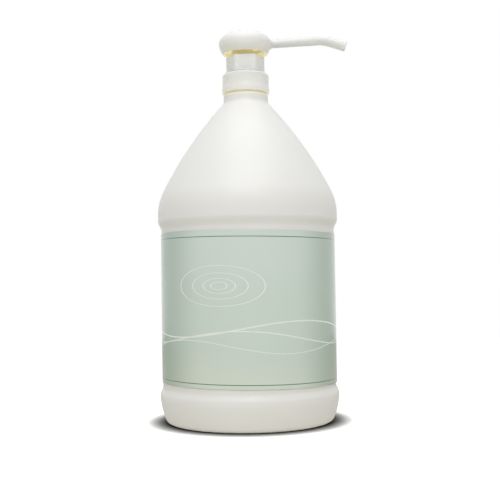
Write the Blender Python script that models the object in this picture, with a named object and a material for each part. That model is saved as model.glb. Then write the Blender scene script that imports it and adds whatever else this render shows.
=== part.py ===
"""Gallon bottle with a lock-down dispensing pump, in metres, +Z up.

The origin is on the bottle's axis, in the plane that its foot ring stands on.
The spout points along +X. The pump is in its locked-down position, with the
head screwed down into the collar. Pump heights are measured from the plane
where the housing's flange meets its gasket.
"""

from math import acos, asin, atan2, cos, degrees, pi, radians, sin, sqrt, tan

import bmesh
import bpy
from mathutils import Matrix, Vector

MM = 0.001

# Fits
GAP = 0.3 * MM                  # between pieces that touch or slide
THREAD_ROOM = 1.1 * MM          # between neck and closure, for the thread ridges
SNAP_ROOM = 0.6 * MM            # between the closure's hole and the housing

# Bottle, outside
BOTTLE_HEIGHT = 298.4 * MM
BASE_RADIUS = 77.75 * MM
BASE_BULGE_HEIGHT = 21.0 * MM   # from the floor to where the base is widest
BASE_TAPER = 4.0 * MM           # how much the base narrows towards the foot
BASE_BOW = 0.6 * MM             # outward bow of the base's side
BASE_LEAN = 14.0                # degrees that the side leans out, above the foot
FOOT_CORNER = 5.5 * MM
FOOT_WIDTH = 4.5 * MM
PUSH_UP = 6.5 * MM
PUSH_UP_CORNER = 4.0 * MM
PUSH_UP_BOW = 0.9 * MM
PANEL_RADIUS = 75.4 * MM
PANEL_BOTTOM = 31.5 * MM
PANEL_TOP = 165.0 * MM
PANEL_STEP = 7.0 * MM           # height over which the wall steps in to the panel
SHOULDER_STEP = 9.0 * MM        # height over which it steps out again to the shoulder
SHOULDER_RADIUS = 78.4 * MM
SHOULDER_START = 179.2 * MM     # from the floor to where the shoulder begins to turn in
SHOULDER_CURVE = 45.0 * MM
SHOULDER_ANGLE = 27.5           # degrees that the shoulder turns before the cone
CONE_BOW = 3.0 * MM
NECK_RADIUS = 19.6 * MM
NECK_FILLET = 3.0 * MM
NECK_BEAD_HEIGHT = 8.0 * MM     # plain ring under the closure
NECK_BEAD_CORNER = 1.6 * MM
FINISH_HEIGHT = 13.1 * MM       # threaded part, from the bead to the lip
FINISH_RADIUS = 17.5 * MM
FINISH_BORE = 15.6 * MM
LIP_CHAMFER = 0.5 * MM
BOTTLE_WALL = 1.3 * MM

# Label
LABEL_THICKNESS = 0.3 * MM
LABEL_MARGIN = 1.5 * MM         # bare panel above and below the label
LABEL_SEAM = 2.0 * MM           # butt gap at the back

# Gasket and closure
GASKET_THICKNESS = 1.2 * MM
GASKET_OVERHANG = 0.6 * MM      # past the bottle's lip, outwards
CLOSURE_WALL = 1.5 * MM
CLOSURE_PLATE = 1.8 * MM
CLOSURE_CHAMFER = 3.0 * MM      # across the slanted shoulder
CLOSURE_CHAMFER_DROP = 2.1 * MM
CLOSURE_FOOT_ROOM = 1.2 * MM    # between the closure's rim and the neck bead
CLOSURE_BAND_HEIGHT = 5.2 * MM
CLOSURE_BAND = 0.35 * MM        # how far the lower band stands out

# Housing
BORE = 9.0 * MM
HOUSING_WALL = 1.4 * MM
HOUSING_NECK = 13.6 * MM        # outer radius of the tube through the closure
HOUSING_NECK_HEIGHT = 8.6 * MM
SNAP_BEAD = 0.3 * MM
SNAP_BEAD_HEIGHT = 1.2 * MM
FLANGE_THICKNESS = 2.0 * MM
HOUSING_SHOULDER = 4.5 * MM     # straight depth under the flange
HOUSING_TAPER = 5.0 * MM
VENT_RADIUS = 0.8 * MM

# Stroke and piston group
STROKE = 32.0 * MM
PISTON_HEIGHT = 9.3 * MM
PISTON_LIP = 0.6 * MM
PISTON_SLEEVE = 1.2 * MM
PISTON_WEB = 1.6 * MM
LIP_SET_BACK = 0.8 * MM
STEM_RADIUS = 6.0 * MM
STEM_BORE = 4.2 * MM
STEM_CHAMFER = 0.6 * MM
ROD_BORE = 2.6 * MM
ROD_SLEEVE_RADIUS = 5.2 * MM
ROD_SPIGOT = 18.0 * MM
ROD_FLANGE_RADIUS = 8.2 * MM
ROD_FLANGE_THICKNESS = 1.6 * MM
ROD_SKIRT_RADIUS = 5.8 * MM
ROD_SKIRT = 4.5 * MM

# Spring
WIRE_RADIUS = 0.6 * MM
SPRING_TURNS = 9
SPRING_PITCH = 1.42 * MM

# Inlet valve
INLET_BALL_RADIUS = 4.0 * MM
INLET_SEAT_RADIUS = 2.9 * MM
INLET_TRAVEL = 2.5 * MM
INLET_PASSAGE = 2.0 * MM
BALL_ROOM = 1.5 * MM            # round the inlet ball, for the liquid
CAGE_FLANGE = 1.2 * MM
CAGE_SKIRT = 3.2 * MM
CAGE_BORE = 3.3 * MM
CAGE_COLLAR_RADIUS = 5.9 * MM
CAGE_COLLAR = 3.6 * MM
CAGE_SLOT = 1.6 * MM
CAGE_SLOT_DEPTH = 2.2 * MM

# Dip tube
TUBE_RADIUS = 3.95 * MM
TUBE_BORE = 2.75 * MM
SOCKET_DEPTH = 16.0 * MM
SOCKET_WALL = 1.6 * MM
TUBE_END_ROOM = 3.0 * MM        # above the bottle's floor
TUBE_CUT_ANGLE = 40.0

# Outlet valve, in the stem
OUTLET_BALL_RADIUS = 3.0 * MM
OUTLET_SEAT_RADIUS = 2.3 * MM
OUTLET_SEAT_DEPTH = 17.5 * MM   # below the stem's top
OUTLET_SEAT_THICKNESS = 1.5 * MM
OUTLET_TRAVEL = 2.0 * MM
OUTLET_CAGE_BORE = 2.4 * MM
OUTLET_CAGE_LENGTH = 8.0 * MM
OUTLET_CAGE_SLOT = 1.4 * MM
OUTLET_CAGE_SLOT_DEPTH = 2.6 * MM

# Lock collar
COLLAR_RADIUS = 16.9 * MM       # round form that the six flats are cut from
COLLAR_FLAT = 15.1 * MM         # from the axis to each flat
COLLAR_FLATS = 6
COLLAR_HEIGHT = 14.7 * MM
COLLAR_FOOT_RADIUS = 17.4 * MM
COLLAR_FOOT = 0.8 * MM
COLLAR_FOOT_FLARE = 1.3 * MM
COLLAR_EDGE = 0.5 * MM
COLLAR_FLOOR = 1.6 * MM
CUP_RADIUS = 12.4 * MM
STEM_GUIDE_ROOM = 0.35 * MM
GUIDE_DEPTH = 6.7 * MM          # of the guide tube's end below the flange
WIPER_RADIUS = 9.2 * MM
WIPER_HEIGHT = 1.6 * MM
WIPER_LIP = 0.5 * MM
WIPER_RIM = 0.8 * MM
WIPER_RIM_HEIGHT = 1.0 * MM

# Head
HEAD_RADIUS = 23.1 * MM
HEAD_CROWN = 12.0 * MM          # from the widest ring up to the top
HEAD_BELLY = 17.2 * MM          # half height of the ellipse below the widest ring
HEAD_RIM_DROP = 10.1 * MM       # from the widest ring down to the rim
HEAD_WAIST = 18.0 * MM          # from the hub's end up to the widest ring
HEAD_WALL = 1.8 * MM
RIM_ROUND = 0.5 * MM
HUB_RADIUS = 8.4 * MM
STEM_SOCKET = 12.4 * MM         # how deep the stem sits in the hub
CHAMBER_TOP = 3.8 * MM          # thickness over the flow chamber
SLEEVE_RADIUS = 11.9 * MM
RIB_COUNT = 3
RIB_START = -50.0
RIB_THICKNESS = 1.3 * MM
RIB_FOOT_ROOM = 0.6 * MM        # of the ribs' feet above the rim
HUB_BITE = 1.2 * MM             # how deep the ribs and the spout reach into the hub

# Spout
SPOUT_REACH = 89.3 * MM
SPOUT_RISE_ANGLE = 3.4
SPOUT_BEND_REACH = 70.0 * MM
SPOUT_BEND_RADIUS = 32.0 * MM
SPOUT_DROP_ANGLE = 17.2
SPOUT_ROOT_RADIUS = 3.85 * MM
SPOUT_TIP_RADIUS = 4.6 * MM
SPOUT_FLARE = 2.6 * MM
SPOUT_FLARE_DEPTH = 4.2 * MM    # where the flare starts, inside the widest ring
SPOUT_FLARE_LENGTH = 7.2 * MM
SPOUT_BORE = 2.6 * MM

# Facets
BOTTLE_SEGMENTS = 40
PUMP_SEGMENTS = 28
INNER_SEGMENTS = 22
SPOUT_SIDES = 14
TUBE_SEGMENTS = 16
SMOOTH_ANGLE = 35.0
MERGE = 0.01 * MM               # points nearer than this are one

# Heights on the bottle, from the floor
bead_top = BOTTLE_HEIGHT - FINISH_HEIGHT
bead_bottom = bead_top - NECK_BEAD_HEIGHT
seal_plane = BOTTLE_HEIGHT + GAP + GASKET_THICKNESS + GAP

# Heights on the pump, from the seal plane
flange_top = FLANGE_THICKNESS
plate_bottom = flange_top + GAP
plate_top = plate_bottom + CLOSURE_PLATE
closure_foot = bead_top + CLOSURE_FOOT_ROOM - seal_plane
collar_bottom = plate_top + GAP
collar_top = collar_bottom + COLLAR_HEIGHT
floor_bottom = HOUSING_NECK_HEIGHT + GAP
floor_top = floor_bottom + COLLAR_FLOOR
guide_bottom = -GUIDE_DEPTH
wiper_bottom = floor_top + GAP
wiper_top = wiper_bottom + WIPER_HEIGHT
head_bottom = wiper_top + GAP
piston_top = guide_bottom - GAP - STROKE
piston_bottom = piston_top - PISTON_HEIGHT
rod_flange_top = piston_bottom - GAP
rod_flange_bottom = rod_flange_top - ROD_FLANGE_THICKNESS
spring_top = rod_flange_bottom - GAP
spring_bottom = spring_top - SPRING_TURNS * SPRING_PITCH - 2 * WIRE_RADIUS
cage_top = spring_bottom - GAP
cage_bottom = cage_top - CAGE_FLANGE
ledge = cage_bottom - GAP
inlet_ball_lift = sqrt((INLET_BALL_RADIUS + GAP) ** 2 - INLET_SEAT_RADIUS ** 2)
inlet_ball_height = cage_bottom - CAGE_SKIRT - GAP - INLET_TRAVEL - INLET_BALL_RADIUS
inlet_seat = inlet_ball_height - inlet_ball_lift
socket_top = inlet_seat - INLET_PASSAGE
socket_bottom = socket_top - SOCKET_DEPTH
stem_top = head_bottom + STEM_SOCKET - GAP
rod_sleeve_top = piston_top + GAP
stem_bottom = rod_sleeve_top + GAP
outlet_seat = stem_top - OUTLET_SEAT_DEPTH
outlet_ball_lift = sqrt((OUTLET_BALL_RADIUS + GAP) ** 2 - OUTLET_SEAT_RADIUS ** 2)
outlet_ball_height = outlet_seat + outlet_ball_lift
outlet_cage_bottom = outlet_ball_height + OUTLET_BALL_RADIUS + OUTLET_TRAVEL + GAP
head_waist = head_bottom + HEAD_WAIST
head_rim = head_waist - HEAD_RIM_DROP
chamber_top = head_waist + HEAD_CROWN - CHAMBER_TOP
spout_root_height = head_waist - HEAD_RADIUS * tan(radians(SPOUT_RISE_ANGLE))
sleeve_top = spout_root_height - SPOUT_ROOT_RADIUS - GAP
flare_start = HEAD_RADIUS - SPOUT_FLARE_DEPTH

# Radii that follow from the fits
closure_bore = FINISH_RADIUS + THREAD_ROOM + GAP
closure_radius = closure_bore + CLOSURE_WALL
flange_radius = closure_bore - THREAD_ROOM - GAP
snap_radius = HOUSING_NECK + SNAP_BEAD
chamber_radius = INLET_BALL_RADIUS + BALL_ROOM
socket_bore = TUBE_RADIUS + GAP
guide_bore = STEM_RADIUS + STEM_GUIDE_ROOM


# ---------------------------------------------------------------- outlines

def arc(centre, radius, start, end, steps):
    """Points of a circular arc, in degrees from +radius towards +height."""
    angles = [radians(start + (end - start) * i / steps) for i in range(steps + 1)]
    return [(centre[0] + radius * cos(a), centre[1] + radius * sin(a)) for a in angles]


def ellipse(centre, across, up, start, end, steps):
    """Points of an elliptical arc between two angles in degrees."""
    angles = [radians(start + (end - start) * i / steps) for i in range(steps + 1)]
    return [(centre[0] + across * cos(a), centre[1] + up * sin(a)) for a in angles]


def bowed(start, end, bow, steps):
    """A nearly straight line that bows to its left by the given height."""
    a, b = Vector(start), Vector(end)
    side = Vector((a.y - b.y, b.x - a.x)).normalized()
    line = [(a.lerp(b, i / steps), i / steps) for i in range(steps + 1)]
    return [tuple(p + side * bow * 4 * t * (1 - t)) for p, t in line]


def step(low, high, steps):
    """An S-shaped step between two radii, from one height to another."""
    (r0, z0), (r1, z1) = low, high
    turns = [pi * i / steps for i in range(steps + 1)]
    return [(r0 + (r1 - r0) * (1 - cos(t)) / 2, z0 + (z1 - z0) * t / pi) for t in turns]


def without_repeats(outline):
    """The outline with points that fall on the one before left out."""
    kept = []
    for point in outline:
        if not kept or (Vector(point) - Vector(kept[-1])).length > MERGE:
            kept.append(point)
    return kept


def parallel(outline, distance):
    """The outline moved to its left by a distance, with mitred corners."""
    points = [Vector(p) for p in outline]
    sides = []
    for a, b in zip(points, points[1:]):
        run = (b - a).normalized()
        sides.append(Vector((-run.y, run.x)))
    moved = []
    for i, point in enumerate(points):
        before, after = sides[max(i - 1, 0)], sides[min(i, len(sides) - 1)]
        middle = (before + after).normalized()
        moved.append(tuple(point + middle * distance / middle.dot(before)))
    return moved


# ---------------------------------------------------------------- objects

def clear_scene():
    for old in list(bpy.data.objects):
        bpy.data.objects.remove(old, do_unlink=True)


def finish(name, colour, roughness, metallic=0.0, transmission=0.0):
    """A material from an sRGB hex colour."""
    shades = [int(colour[i:i + 2], 16) / 255 for i in (0, 2, 4)]
    linear = [s / 12.92 if s < 0.04045 else ((s + 0.055) / 1.055) ** 2.4 for s in shades]
    made = bpy.data.materials.new(name)
    made.use_nodes = True
    shader = made.node_tree.nodes["Principled BSDF"]
    shader.inputs["Base Color"].default_value = (*linear, 1.0)
    shader.inputs["Roughness"].default_value = roughness
    shader.inputs["Metallic"].default_value = metallic
    shader.inputs["Transmission Weight"].default_value = transmission
    made.diffuse_color = (*linear, 1.0)
    return made


def frame_point(name, parent=None, height=0.0):
    """An empty on the common axis that carries the pieces which move together."""
    empty = bpy.data.objects.new(name, None)
    empty.empty_display_size = 10 * MM
    empty.location.z = height
    empty.parent = parent
    bpy.context.scene.collection.objects.link(empty)
    return empty


def add_object(name, bm, parent, material=None):
    """A smooth-shaded object from a bmesh, with faces pointing out."""
    bmesh.ops.recalc_face_normals(bm, faces=bm.faces)
    mesh = bpy.data.meshes.new(name)
    bm.to_mesh(mesh)
    bm.free()
    mesh.shade_smooth()
    mesh.set_sharp_from_angle(angle=radians(SMOOTH_ANGLE))
    if material:
        mesh.materials.append(material)
    made = bpy.data.objects.new(name, mesh)
    made.parent = parent
    bpy.context.scene.collection.objects.link(made)
    return made


def turned_mesh(outline, segments):
    """A closed outline of (radius, height) points, spun round the Z axis."""
    bm = bmesh.new()
    points = without_repeats(outline)
    ring = [bm.verts.new((r, 0, z)) for r, z in points]
    edges = [bm.edges.new((a, b)) for a, b in zip(ring, ring[1:] + ring[:1])]
    bmesh.ops.spin(bm, geom=ring + edges, axis=(0, 0, 1), cent=(0, 0, 0),
                   angle=2 * pi, steps=segments, use_merge=True)
    bmesh.ops.remove_doubles(bm, verts=bm.verts, dist=MERGE / 10)
    return bm


def turned(name, outline, segments, parent, material=None):
    return add_object(name, turned_mesh(outline, segments), parent, material)


def tube_outline(inner, outer, bottom, top):
    return [(inner, bottom), (outer, bottom), (outer, top), (inner, top)]


def box_mesh(size, centre, angle=0.0):
    """A box turned about the Z axis by an angle in degrees."""
    bm = bmesh.new()
    place = Matrix.Rotation(radians(angle), 4, "Z") @ Matrix.Translation(centre)
    shape = Matrix.Diagonal((*size, 1))
    bmesh.ops.create_cube(bm, size=1, matrix=place @ shape)
    return bm


def swept_mesh(path, radii, sides):
    """Rings along a path in the XZ plane, bridged and capped."""
    bm = bmesh.new()
    rings = []
    for i, (x, z) in enumerate(path):
        ahead, behind = path[min(i + 1, len(path) - 1)], path[max(i - 1, 0)]
        tilt = atan2(ahead[1] - behind[1], ahead[0] - behind[0])
        ring = []
        for k in range(sides):
            turn = 2 * pi * k / sides
            across, up = radii[i] * cos(turn), radii[i] * sin(turn)
            ring.append(bm.verts.new((x - up * sin(tilt), across, z + up * cos(tilt))))
        rings.append(ring)
    loops = []
    for ring in rings:
        loops.append([bm.edges.new((a, b)) for a, b in zip(ring, ring[1:] + ring[:1])])
    for one, other in zip(loops, loops[1:]):
        bmesh.ops.bridge_loops(bm, edges=one + other)
    bm.faces.new(rings[0])
    bm.faces.new(rings[-1])
    return bm


def tool(made):
    """Marks an object as a boolean operand that isn't a piece."""
    made.hide_render = True
    made.display_type = "WIRE"
    return made


def combine(target, operand, operation):
    """Adds a live boolean and hides its operand."""
    change = target.modifiers.new(operation.lower(), "BOOLEAN")
    change.operation = operation
    change.solver = "EXACT"
    change.object = tool(operand)


# ---------------------------------------------------------------- bottle

def body_outline():
    """The bottle's outside, from the base's centre up to the neck bead."""
    foot_outer = BASE_RADIUS - BASE_TAPER - FOOT_CORNER
    foot_inner = foot_outer - FOOT_WIDTH
    widest = (BASE_RADIUS, BASE_BULGE_HEIGHT)
    base_top = (BASE_RADIUS, PANEL_BOTTOM - PANEL_STEP)
    dome = bowed((0, PUSH_UP), (foot_inner - PUSH_UP_CORNER, PUSH_UP_CORNER), PUSH_UP_BOW, 2)
    fillet = arc((foot_inner - PUSH_UP_CORNER, 0), PUSH_UP_CORNER, 90, 0, 3)
    corner = arc((foot_outer, FOOT_CORNER), FOOT_CORNER, -90, -BASE_LEAN, 3)
    side = bowed(corner[-1], widest, -BASE_BOW, 2)
    step_in = step(base_top, (PANEL_RADIUS, PANEL_BOTTOM), 3)
    step_out = step((PANEL_RADIUS, PANEL_TOP), (SHOULDER_RADIUS, PANEL_TOP + SHOULDER_STEP), 3)
    bend = arc((SHOULDER_RADIUS - SHOULDER_CURVE, SHOULDER_START), SHOULDER_CURVE,
               0, SHOULDER_ANGLE, 4)
    neck_root = (NECK_RADIUS + NECK_FILLET / 2, bead_bottom - NECK_FILLET / 2)
    cone = bowed(bend[-1], neck_root, -CONE_BOW, 4)
    neck = [(NECK_RADIUS, bead_bottom + NECK_FILLET / 2)]
    return without_repeats(dome + fillet + corner + side + step_in + step_out
                           + bend + cone + neck)


def bottle_outline():
    """Closed outline of the blown wall with its moulded neck finish."""
    outside = body_outline()
    bead = arc((NECK_RADIUS - NECK_BEAD_CORNER, bead_top - NECK_BEAD_CORNER),
               NECK_BEAD_CORNER, 0, 90, 3)
    finish_wall = [(FINISH_RADIUS, bead_top), (FINISH_RADIUS, BOTTLE_HEIGHT - LIP_CHAMFER),
                   (FINISH_RADIUS - LIP_CHAMFER, BOTTLE_HEIGHT),
                   (FINISH_BORE, BOTTLE_HEIGHT), (FINISH_BORE, bead_bottom)]
    inside = parallel(outside, BOTTLE_WALL)
    inside[0] = (0, inside[0][1])
    cavity = [p for p in inside if p[0] > FINISH_BORE + BOTTLE_WALL or p[1] < bead_bottom / 2]
    return outside + bead + finish_wall + cavity[::-1]


def make_bottle(parent):
    white = finish("bottle_hdpe", "F1F0EC", 0.38)
    return turned("bottle", bottle_outline(), BOTTLE_SEGMENTS, parent, white)


def make_label(parent):
    """A ring round the panel, cut open along a seam at the back."""
    film = finish("label_film", "C3D3C8", 0.3)
    inner = PANEL_RADIUS + GAP
    outer = inner + LABEL_THICKNESS
    ring = tube_outline(inner, outer, PANEL_BOTTOM + LABEL_MARGIN, PANEL_TOP - LABEL_MARGIN)
    label = turned("label", ring, BOTTLE_SEGMENTS, parent, film)
    height = PANEL_TOP - PANEL_BOTTOM
    seam = box_mesh((LABEL_SEAM, PANEL_RADIUS / 2, height),
                    (0, PANEL_RADIUS, PANEL_BOTTOM + height / 2))
    combine(label, add_object("label_seam_tool", seam, parent), "DIFFERENCE")
    return label


# ---------------------------------------------------------------- closure

def make_gasket(parent):
    foam = finish("gasket_foam", "ECEBE6", 0.7)
    inner = HOUSING_NECK + GAP
    outer = FINISH_RADIUS + GASKET_OVERHANG
    outline = tube_outline(inner, outer, -GAP - GASKET_THICKNESS, -GAP)
    return turned("cap_gasket", outline, PUMP_SEGMENTS, parent, foam)


def make_closure(parent):
    """Screw cap: slanted shoulder, skirt with a lower band, hole for the housing."""
    plastic = finish("closure_pp", "EDEDE6", 0.35)
    band = closure_foot + CLOSURE_BAND_HEIGHT
    wide = closure_radius + CLOSURE_BAND
    hole = snap_radius + SNAP_ROOM - SNAP_BEAD
    outline = [
        (closure_bore, closure_foot), (wide, closure_foot), (wide, band),
        (closure_radius, band + CLOSURE_BAND),
        (closure_radius, plate_top - CLOSURE_CHAMFER_DROP),
        (closure_radius - CLOSURE_CHAMFER, plate_top), (hole, plate_top),
        (hole, plate_bottom), (closure_bore, plate_bottom)]
    return turned("closure", outline, PUMP_SEGMENTS, parent, plastic)


# ---------------------------------------------------------------- pump body

def make_housing(parent):
    """Flanged tube with its bore, spring ledge, ball seat and dip tube socket."""
    plastic = finish("housing_pp", "E6E6DF", 0.4)
    neck_bore = HOUSING_NECK - HOUSING_WALL
    barrel = BORE + HOUSING_WALL
    taper_end = -HOUSING_SHOULDER - HOUSING_TAPER
    chamber_wall = chamber_radius + HOUSING_WALL
    socket_wall = socket_bore + SOCKET_WALL
    outside = [
        (HOUSING_NECK, HOUSING_NECK_HEIGHT), (snap_radius, HOUSING_NECK_HEIGHT - SNAP_BEAD),
        (snap_radius, HOUSING_NECK_HEIGHT - SNAP_BEAD_HEIGHT),
        (HOUSING_NECK, HOUSING_NECK_HEIGHT - SNAP_BEAD_HEIGHT - SNAP_BEAD),
        (HOUSING_NECK, flange_top), (flange_radius, flange_top), (flange_radius, 0),
        (HOUSING_NECK, 0), (HOUSING_NECK, -HOUSING_SHOULDER), (barrel, taper_end),
        (barrel, ledge - HOUSING_WALL),
        (chamber_wall, ledge - HOUSING_WALL - (barrel - chamber_wall)),
        (chamber_wall, inlet_seat), (socket_wall, socket_top), (socket_wall, socket_bottom)]
    inside = [
        (socket_bore, socket_bottom), (socket_bore, socket_top),
        (INLET_SEAT_RADIUS, socket_top), (INLET_SEAT_RADIUS, inlet_seat),
        (chamber_radius, inlet_ball_height), (chamber_radius, ledge), (BORE, ledge),
        (BORE, guide_bottom), (neck_bore, guide_bottom + neck_bore - BORE),
        (neck_bore, HOUSING_NECK_HEIGHT)]
    housing = turned("pump_housing", outside + inside, PUMP_SEGMENTS, parent, plastic)
    vent = bmesh.new()
    place = Matrix.Translation((0, HOUSING_NECK, -HOUSING_SHOULDER / 2))
    bmesh.ops.create_cone(vent, cap_ends=True, segments=8, radius1=VENT_RADIUS,
                          radius2=VENT_RADIUS, depth=4 * HOUSING_WALL,
                          matrix=place @ Matrix.Rotation(pi / 2, 4, "X"))
    combine(housing, add_object("vent_tool", vent, parent), "DIFFERENCE")
    return housing


def make_collar(parent):
    """Collar with six flats, a cup for the head's sleeve and a guide for the stem."""
    plastic = finish("collar_pp", "EEEEE7", 0.32)
    skirt = snap_radius + GAP
    guide_wall = BORE - GAP
    foot_top = collar_bottom + COLLAR_FOOT
    rim_inner = WIPER_RADIUS + GAP
    rim_outer = rim_inner + WIPER_RIM
    rim_top = floor_top + WIPER_RIM_HEIGHT
    outline = [
        (skirt, collar_bottom), (COLLAR_FOOT_RADIUS, collar_bottom),
        (COLLAR_FOOT_RADIUS, foot_top), (COLLAR_RADIUS, foot_top + COLLAR_FOOT_FLARE / 2),
        (COLLAR_RADIUS, collar_top - COLLAR_EDGE), (COLLAR_RADIUS - COLLAR_EDGE, collar_top),
        (CUP_RADIUS, collar_top), (CUP_RADIUS, floor_top), (rim_outer, floor_top),
        (rim_outer, rim_top), (rim_inner, rim_top), (rim_inner, floor_top),
        (guide_bore, floor_top), (guide_bore, guide_bottom), (guide_wall, guide_bottom),
        (guide_wall, floor_bottom), (skirt, floor_bottom)]
    collar = turned("lock_collar", outline, PUMP_SEGMENTS, parent, plastic)
    combine(collar, flats_tool(foot_top, parent), "DIFFERENCE")
    return collar


def flats_tool(foot_top, parent):
    """A ring with a six-sided hole that flares at the foot of the flats."""
    corner = 1 / cos(pi / COLLAR_FLATS)
    flat = COLLAR_FLAT * corner
    flare = (COLLAR_FOOT_RADIUS + GAP) * corner
    outer = 2 * COLLAR_RADIUS
    top = collar_top + COLLAR_FOOT
    outline = [(flat, top), (flat, foot_top + COLLAR_FOOT_FLARE), (flare, foot_top),
               (outer, foot_top), (outer, top)]
    return turned("collar_flats_tool", outline, COLLAR_FLATS, parent)


def make_wiper(parent):
    """Ring on the collar's floor with a lip that leans in to the stem."""
    rubber = finish("wiper_elastomer", "D9D9D2", 0.6)
    inner = STEM_RADIUS + GAP
    lip_root = inner + 2 * WIPER_LIP
    outline = [
        (lip_root, wiper_bottom), (WIPER_RADIUS, wiper_bottom),
        (WIPER_RADIUS, wiper_top - WIPER_LIP), (lip_root + WIPER_LIP, wiper_top - WIPER_LIP),
        (inner + WIPER_LIP, wiper_top), (inner, wiper_top),
        (lip_root, wiper_bottom + WIPER_LIP)]
    return turned("stem_wiper", outline, INNER_SEGMENTS, parent, rubber)


def make_dip_tube(parent):
    """Tube from the socket to the bottle's floor, cut off at a slant."""
    plastic = finish("dip_tube_pe", "E2E2DC", 0.45)
    bottom = PUSH_UP + BOTTLE_WALL + TUBE_END_ROOM - seal_plane
    top = socket_top - GAP
    outline = tube_outline(TUBE_BORE, TUBE_RADIUS, bottom, top)
    tube = turned("dip_tube", outline, TUBE_SEGMENTS, parent, plastic)
    size = 6 * TUBE_RADIUS
    slant = radians(TUBE_CUT_ANGLE)
    lowest = bottom + TUBE_RADIUS * tan(slant)
    place = (Matrix.Translation((0, 0, lowest)) @ Matrix.Rotation(slant, 4, "Y")
             @ Matrix.Translation((0, 0, -size / 2)))
    cut = bmesh.new()
    bmesh.ops.create_cube(cut, size=size, matrix=place)
    combine(tube, add_object("dip_tube_cut_tool", cut, parent), "DIFFERENCE")
    return tube


def ball(name, radius, height, parent, material):
    """A turned ball, cut into rings by latitude."""
    outline = arc((0, height), radius, -90, 90, 8)
    outline[0] = (0, height - radius)
    outline[-1] = (0, height + radius)
    return turned(name, outline, TUBE_SEGMENTS, parent, material)


def cross_slots(name, width, depth, across, bottom, parent):
    """Two crossing bars that notch the lower end of a cage."""
    height = bottom + depth / 2 - GAP / 2
    size = (across, width, depth + GAP)
    bars = add_object(name, box_mesh(size, (0, 0, height)), parent)
    other = add_object(name + "_b", box_mesh(size, (0, 0, height), 90), parent)
    return bars, other


def make_ball_cage(parent):
    """Spring seat with a notched skirt that holds the inlet ball down."""
    plastic = finish("ball_cage_pp", "D8DAD6", 0.4)
    skirt = chamber_radius - GAP
    bottom = cage_bottom - CAGE_SKIRT
    outline = [
        (CAGE_BORE, bottom), (skirt, bottom), (skirt, cage_bottom), (BORE - GAP, cage_bottom),
        (BORE - GAP, cage_top), (CAGE_COLLAR_RADIUS, cage_top),
        (CAGE_COLLAR_RADIUS, cage_top + CAGE_COLLAR), (CAGE_BORE, cage_top + CAGE_COLLAR)]
    cage = turned("ball_cage", outline, INNER_SEGMENTS, parent, plastic)
    for bar in cross_slots("cage_slot_tool", CAGE_SLOT, CAGE_SLOT_DEPTH, 4 * skirt,
                           bottom, parent):
        combine(cage, bar, "DIFFERENCE")
    return cage


def make_spring(parent):
    """Round wire carried along a helix, with a face at each end."""
    steel = finish("spring_steel", "B4B4B2", 0.28, metallic=1.0)
    mean = (BORE - GAP + max(ROD_SKIRT_RADIUS, CAGE_COLLAR_RADIUS)) / 2
    bm = bmesh.new()
    start = spring_bottom + WIRE_RADIUS
    ring = [bm.verts.new((x, 0, z)) for x, z in arc((mean, start), WIRE_RADIUS, 0, 300, 5)]
    face = bm.faces.new(ring)
    steps = SPRING_TURNS * INNER_SEGMENTS // 2
    rise = (spring_top - spring_bottom - 2 * WIRE_RADIUS) / steps
    bmesh.ops.spin(bm, geom=[face], axis=(0, 0, 1), cent=(0, 0, 0), dvec=(0, 0, rise),
                   angle=2 * pi * SPRING_TURNS, steps=steps, use_merge=False)
    return add_object("return_spring", bm, parent, steel)


# ---------------------------------------------------------------- plunger

def make_piston(parent):
    """Sleeve, web and two thin lips that lean out to the bore."""
    plastic = finish("piston_ldpe", "DFE3E6", 0.5)
    inner = ROD_SLEEVE_RADIUS + GAP
    sleeve = inner + PISTON_SLEEVE
    edge = BORE - GAP
    waist = edge - PISTON_LIP / 2
    middle = (piston_top + piston_bottom) / 2
    upper, lower = middle + PISTON_WEB / 2, middle - PISTON_WEB / 2
    high, low = piston_top - LIP_SET_BACK, piston_bottom + LIP_SET_BACK
    outline = [
        (inner, piston_bottom), (sleeve, piston_bottom), (sleeve, lower),
        (waist - PISTON_LIP, lower), (edge - PISTON_LIP, low), (edge, low), (waist, middle),
        (edge, high), (edge - PISTON_LIP, high), (waist - PISTON_LIP, upper), (sleeve, upper),
        (sleeve, piston_top), (inner, piston_top)]
    return turned("piston", outline, INNER_SEGMENTS, parent, plastic)


def make_rod(parent):
    """Hollow rod: spring flange, seat for the piston and a spigot into the stem."""
    plastic = finish("piston_rod_pp", "E4E4DC", 0.4)
    spigot = STEM_BORE - GAP
    skirt = rod_flange_bottom - ROD_SKIRT
    outline = [
        (ROD_BORE, skirt), (ROD_SKIRT_RADIUS, skirt), (ROD_SKIRT_RADIUS, rod_flange_bottom),
        (ROD_FLANGE_RADIUS, rod_flange_bottom), (ROD_FLANGE_RADIUS, rod_flange_top),
        (ROD_SLEEVE_RADIUS, rod_flange_top), (ROD_SLEEVE_RADIUS, rod_sleeve_top),
        (spigot, rod_sleeve_top), (spigot, stem_bottom + ROD_SPIGOT),
        (ROD_BORE, stem_bottom + ROD_SPIGOT)]
    return turned("piston_rod", outline, INNER_SEGMENTS, parent, plastic)


def make_stem(parent):
    """Tube from the rod to the head, with the outlet ball's seat near its top."""
    plastic = finish("stem_pp", "E9E9E2", 0.3)
    widening = STEM_BORE - OUTLET_SEAT_RADIUS
    under = outlet_seat - OUTLET_SEAT_THICKNESS
    outline = [
        (STEM_BORE, stem_bottom), (STEM_RADIUS, stem_bottom),
        (STEM_RADIUS, stem_top - STEM_CHAMFER), (STEM_RADIUS - STEM_CHAMFER, stem_top),
        (STEM_BORE, stem_top), (STEM_BORE, outlet_seat + widening),
        (OUTLET_SEAT_RADIUS, outlet_seat), (OUTLET_SEAT_RADIUS, under),
        (STEM_BORE, under - widening)]
    return turned("stem", outline, INNER_SEGMENTS, parent, plastic)


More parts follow.
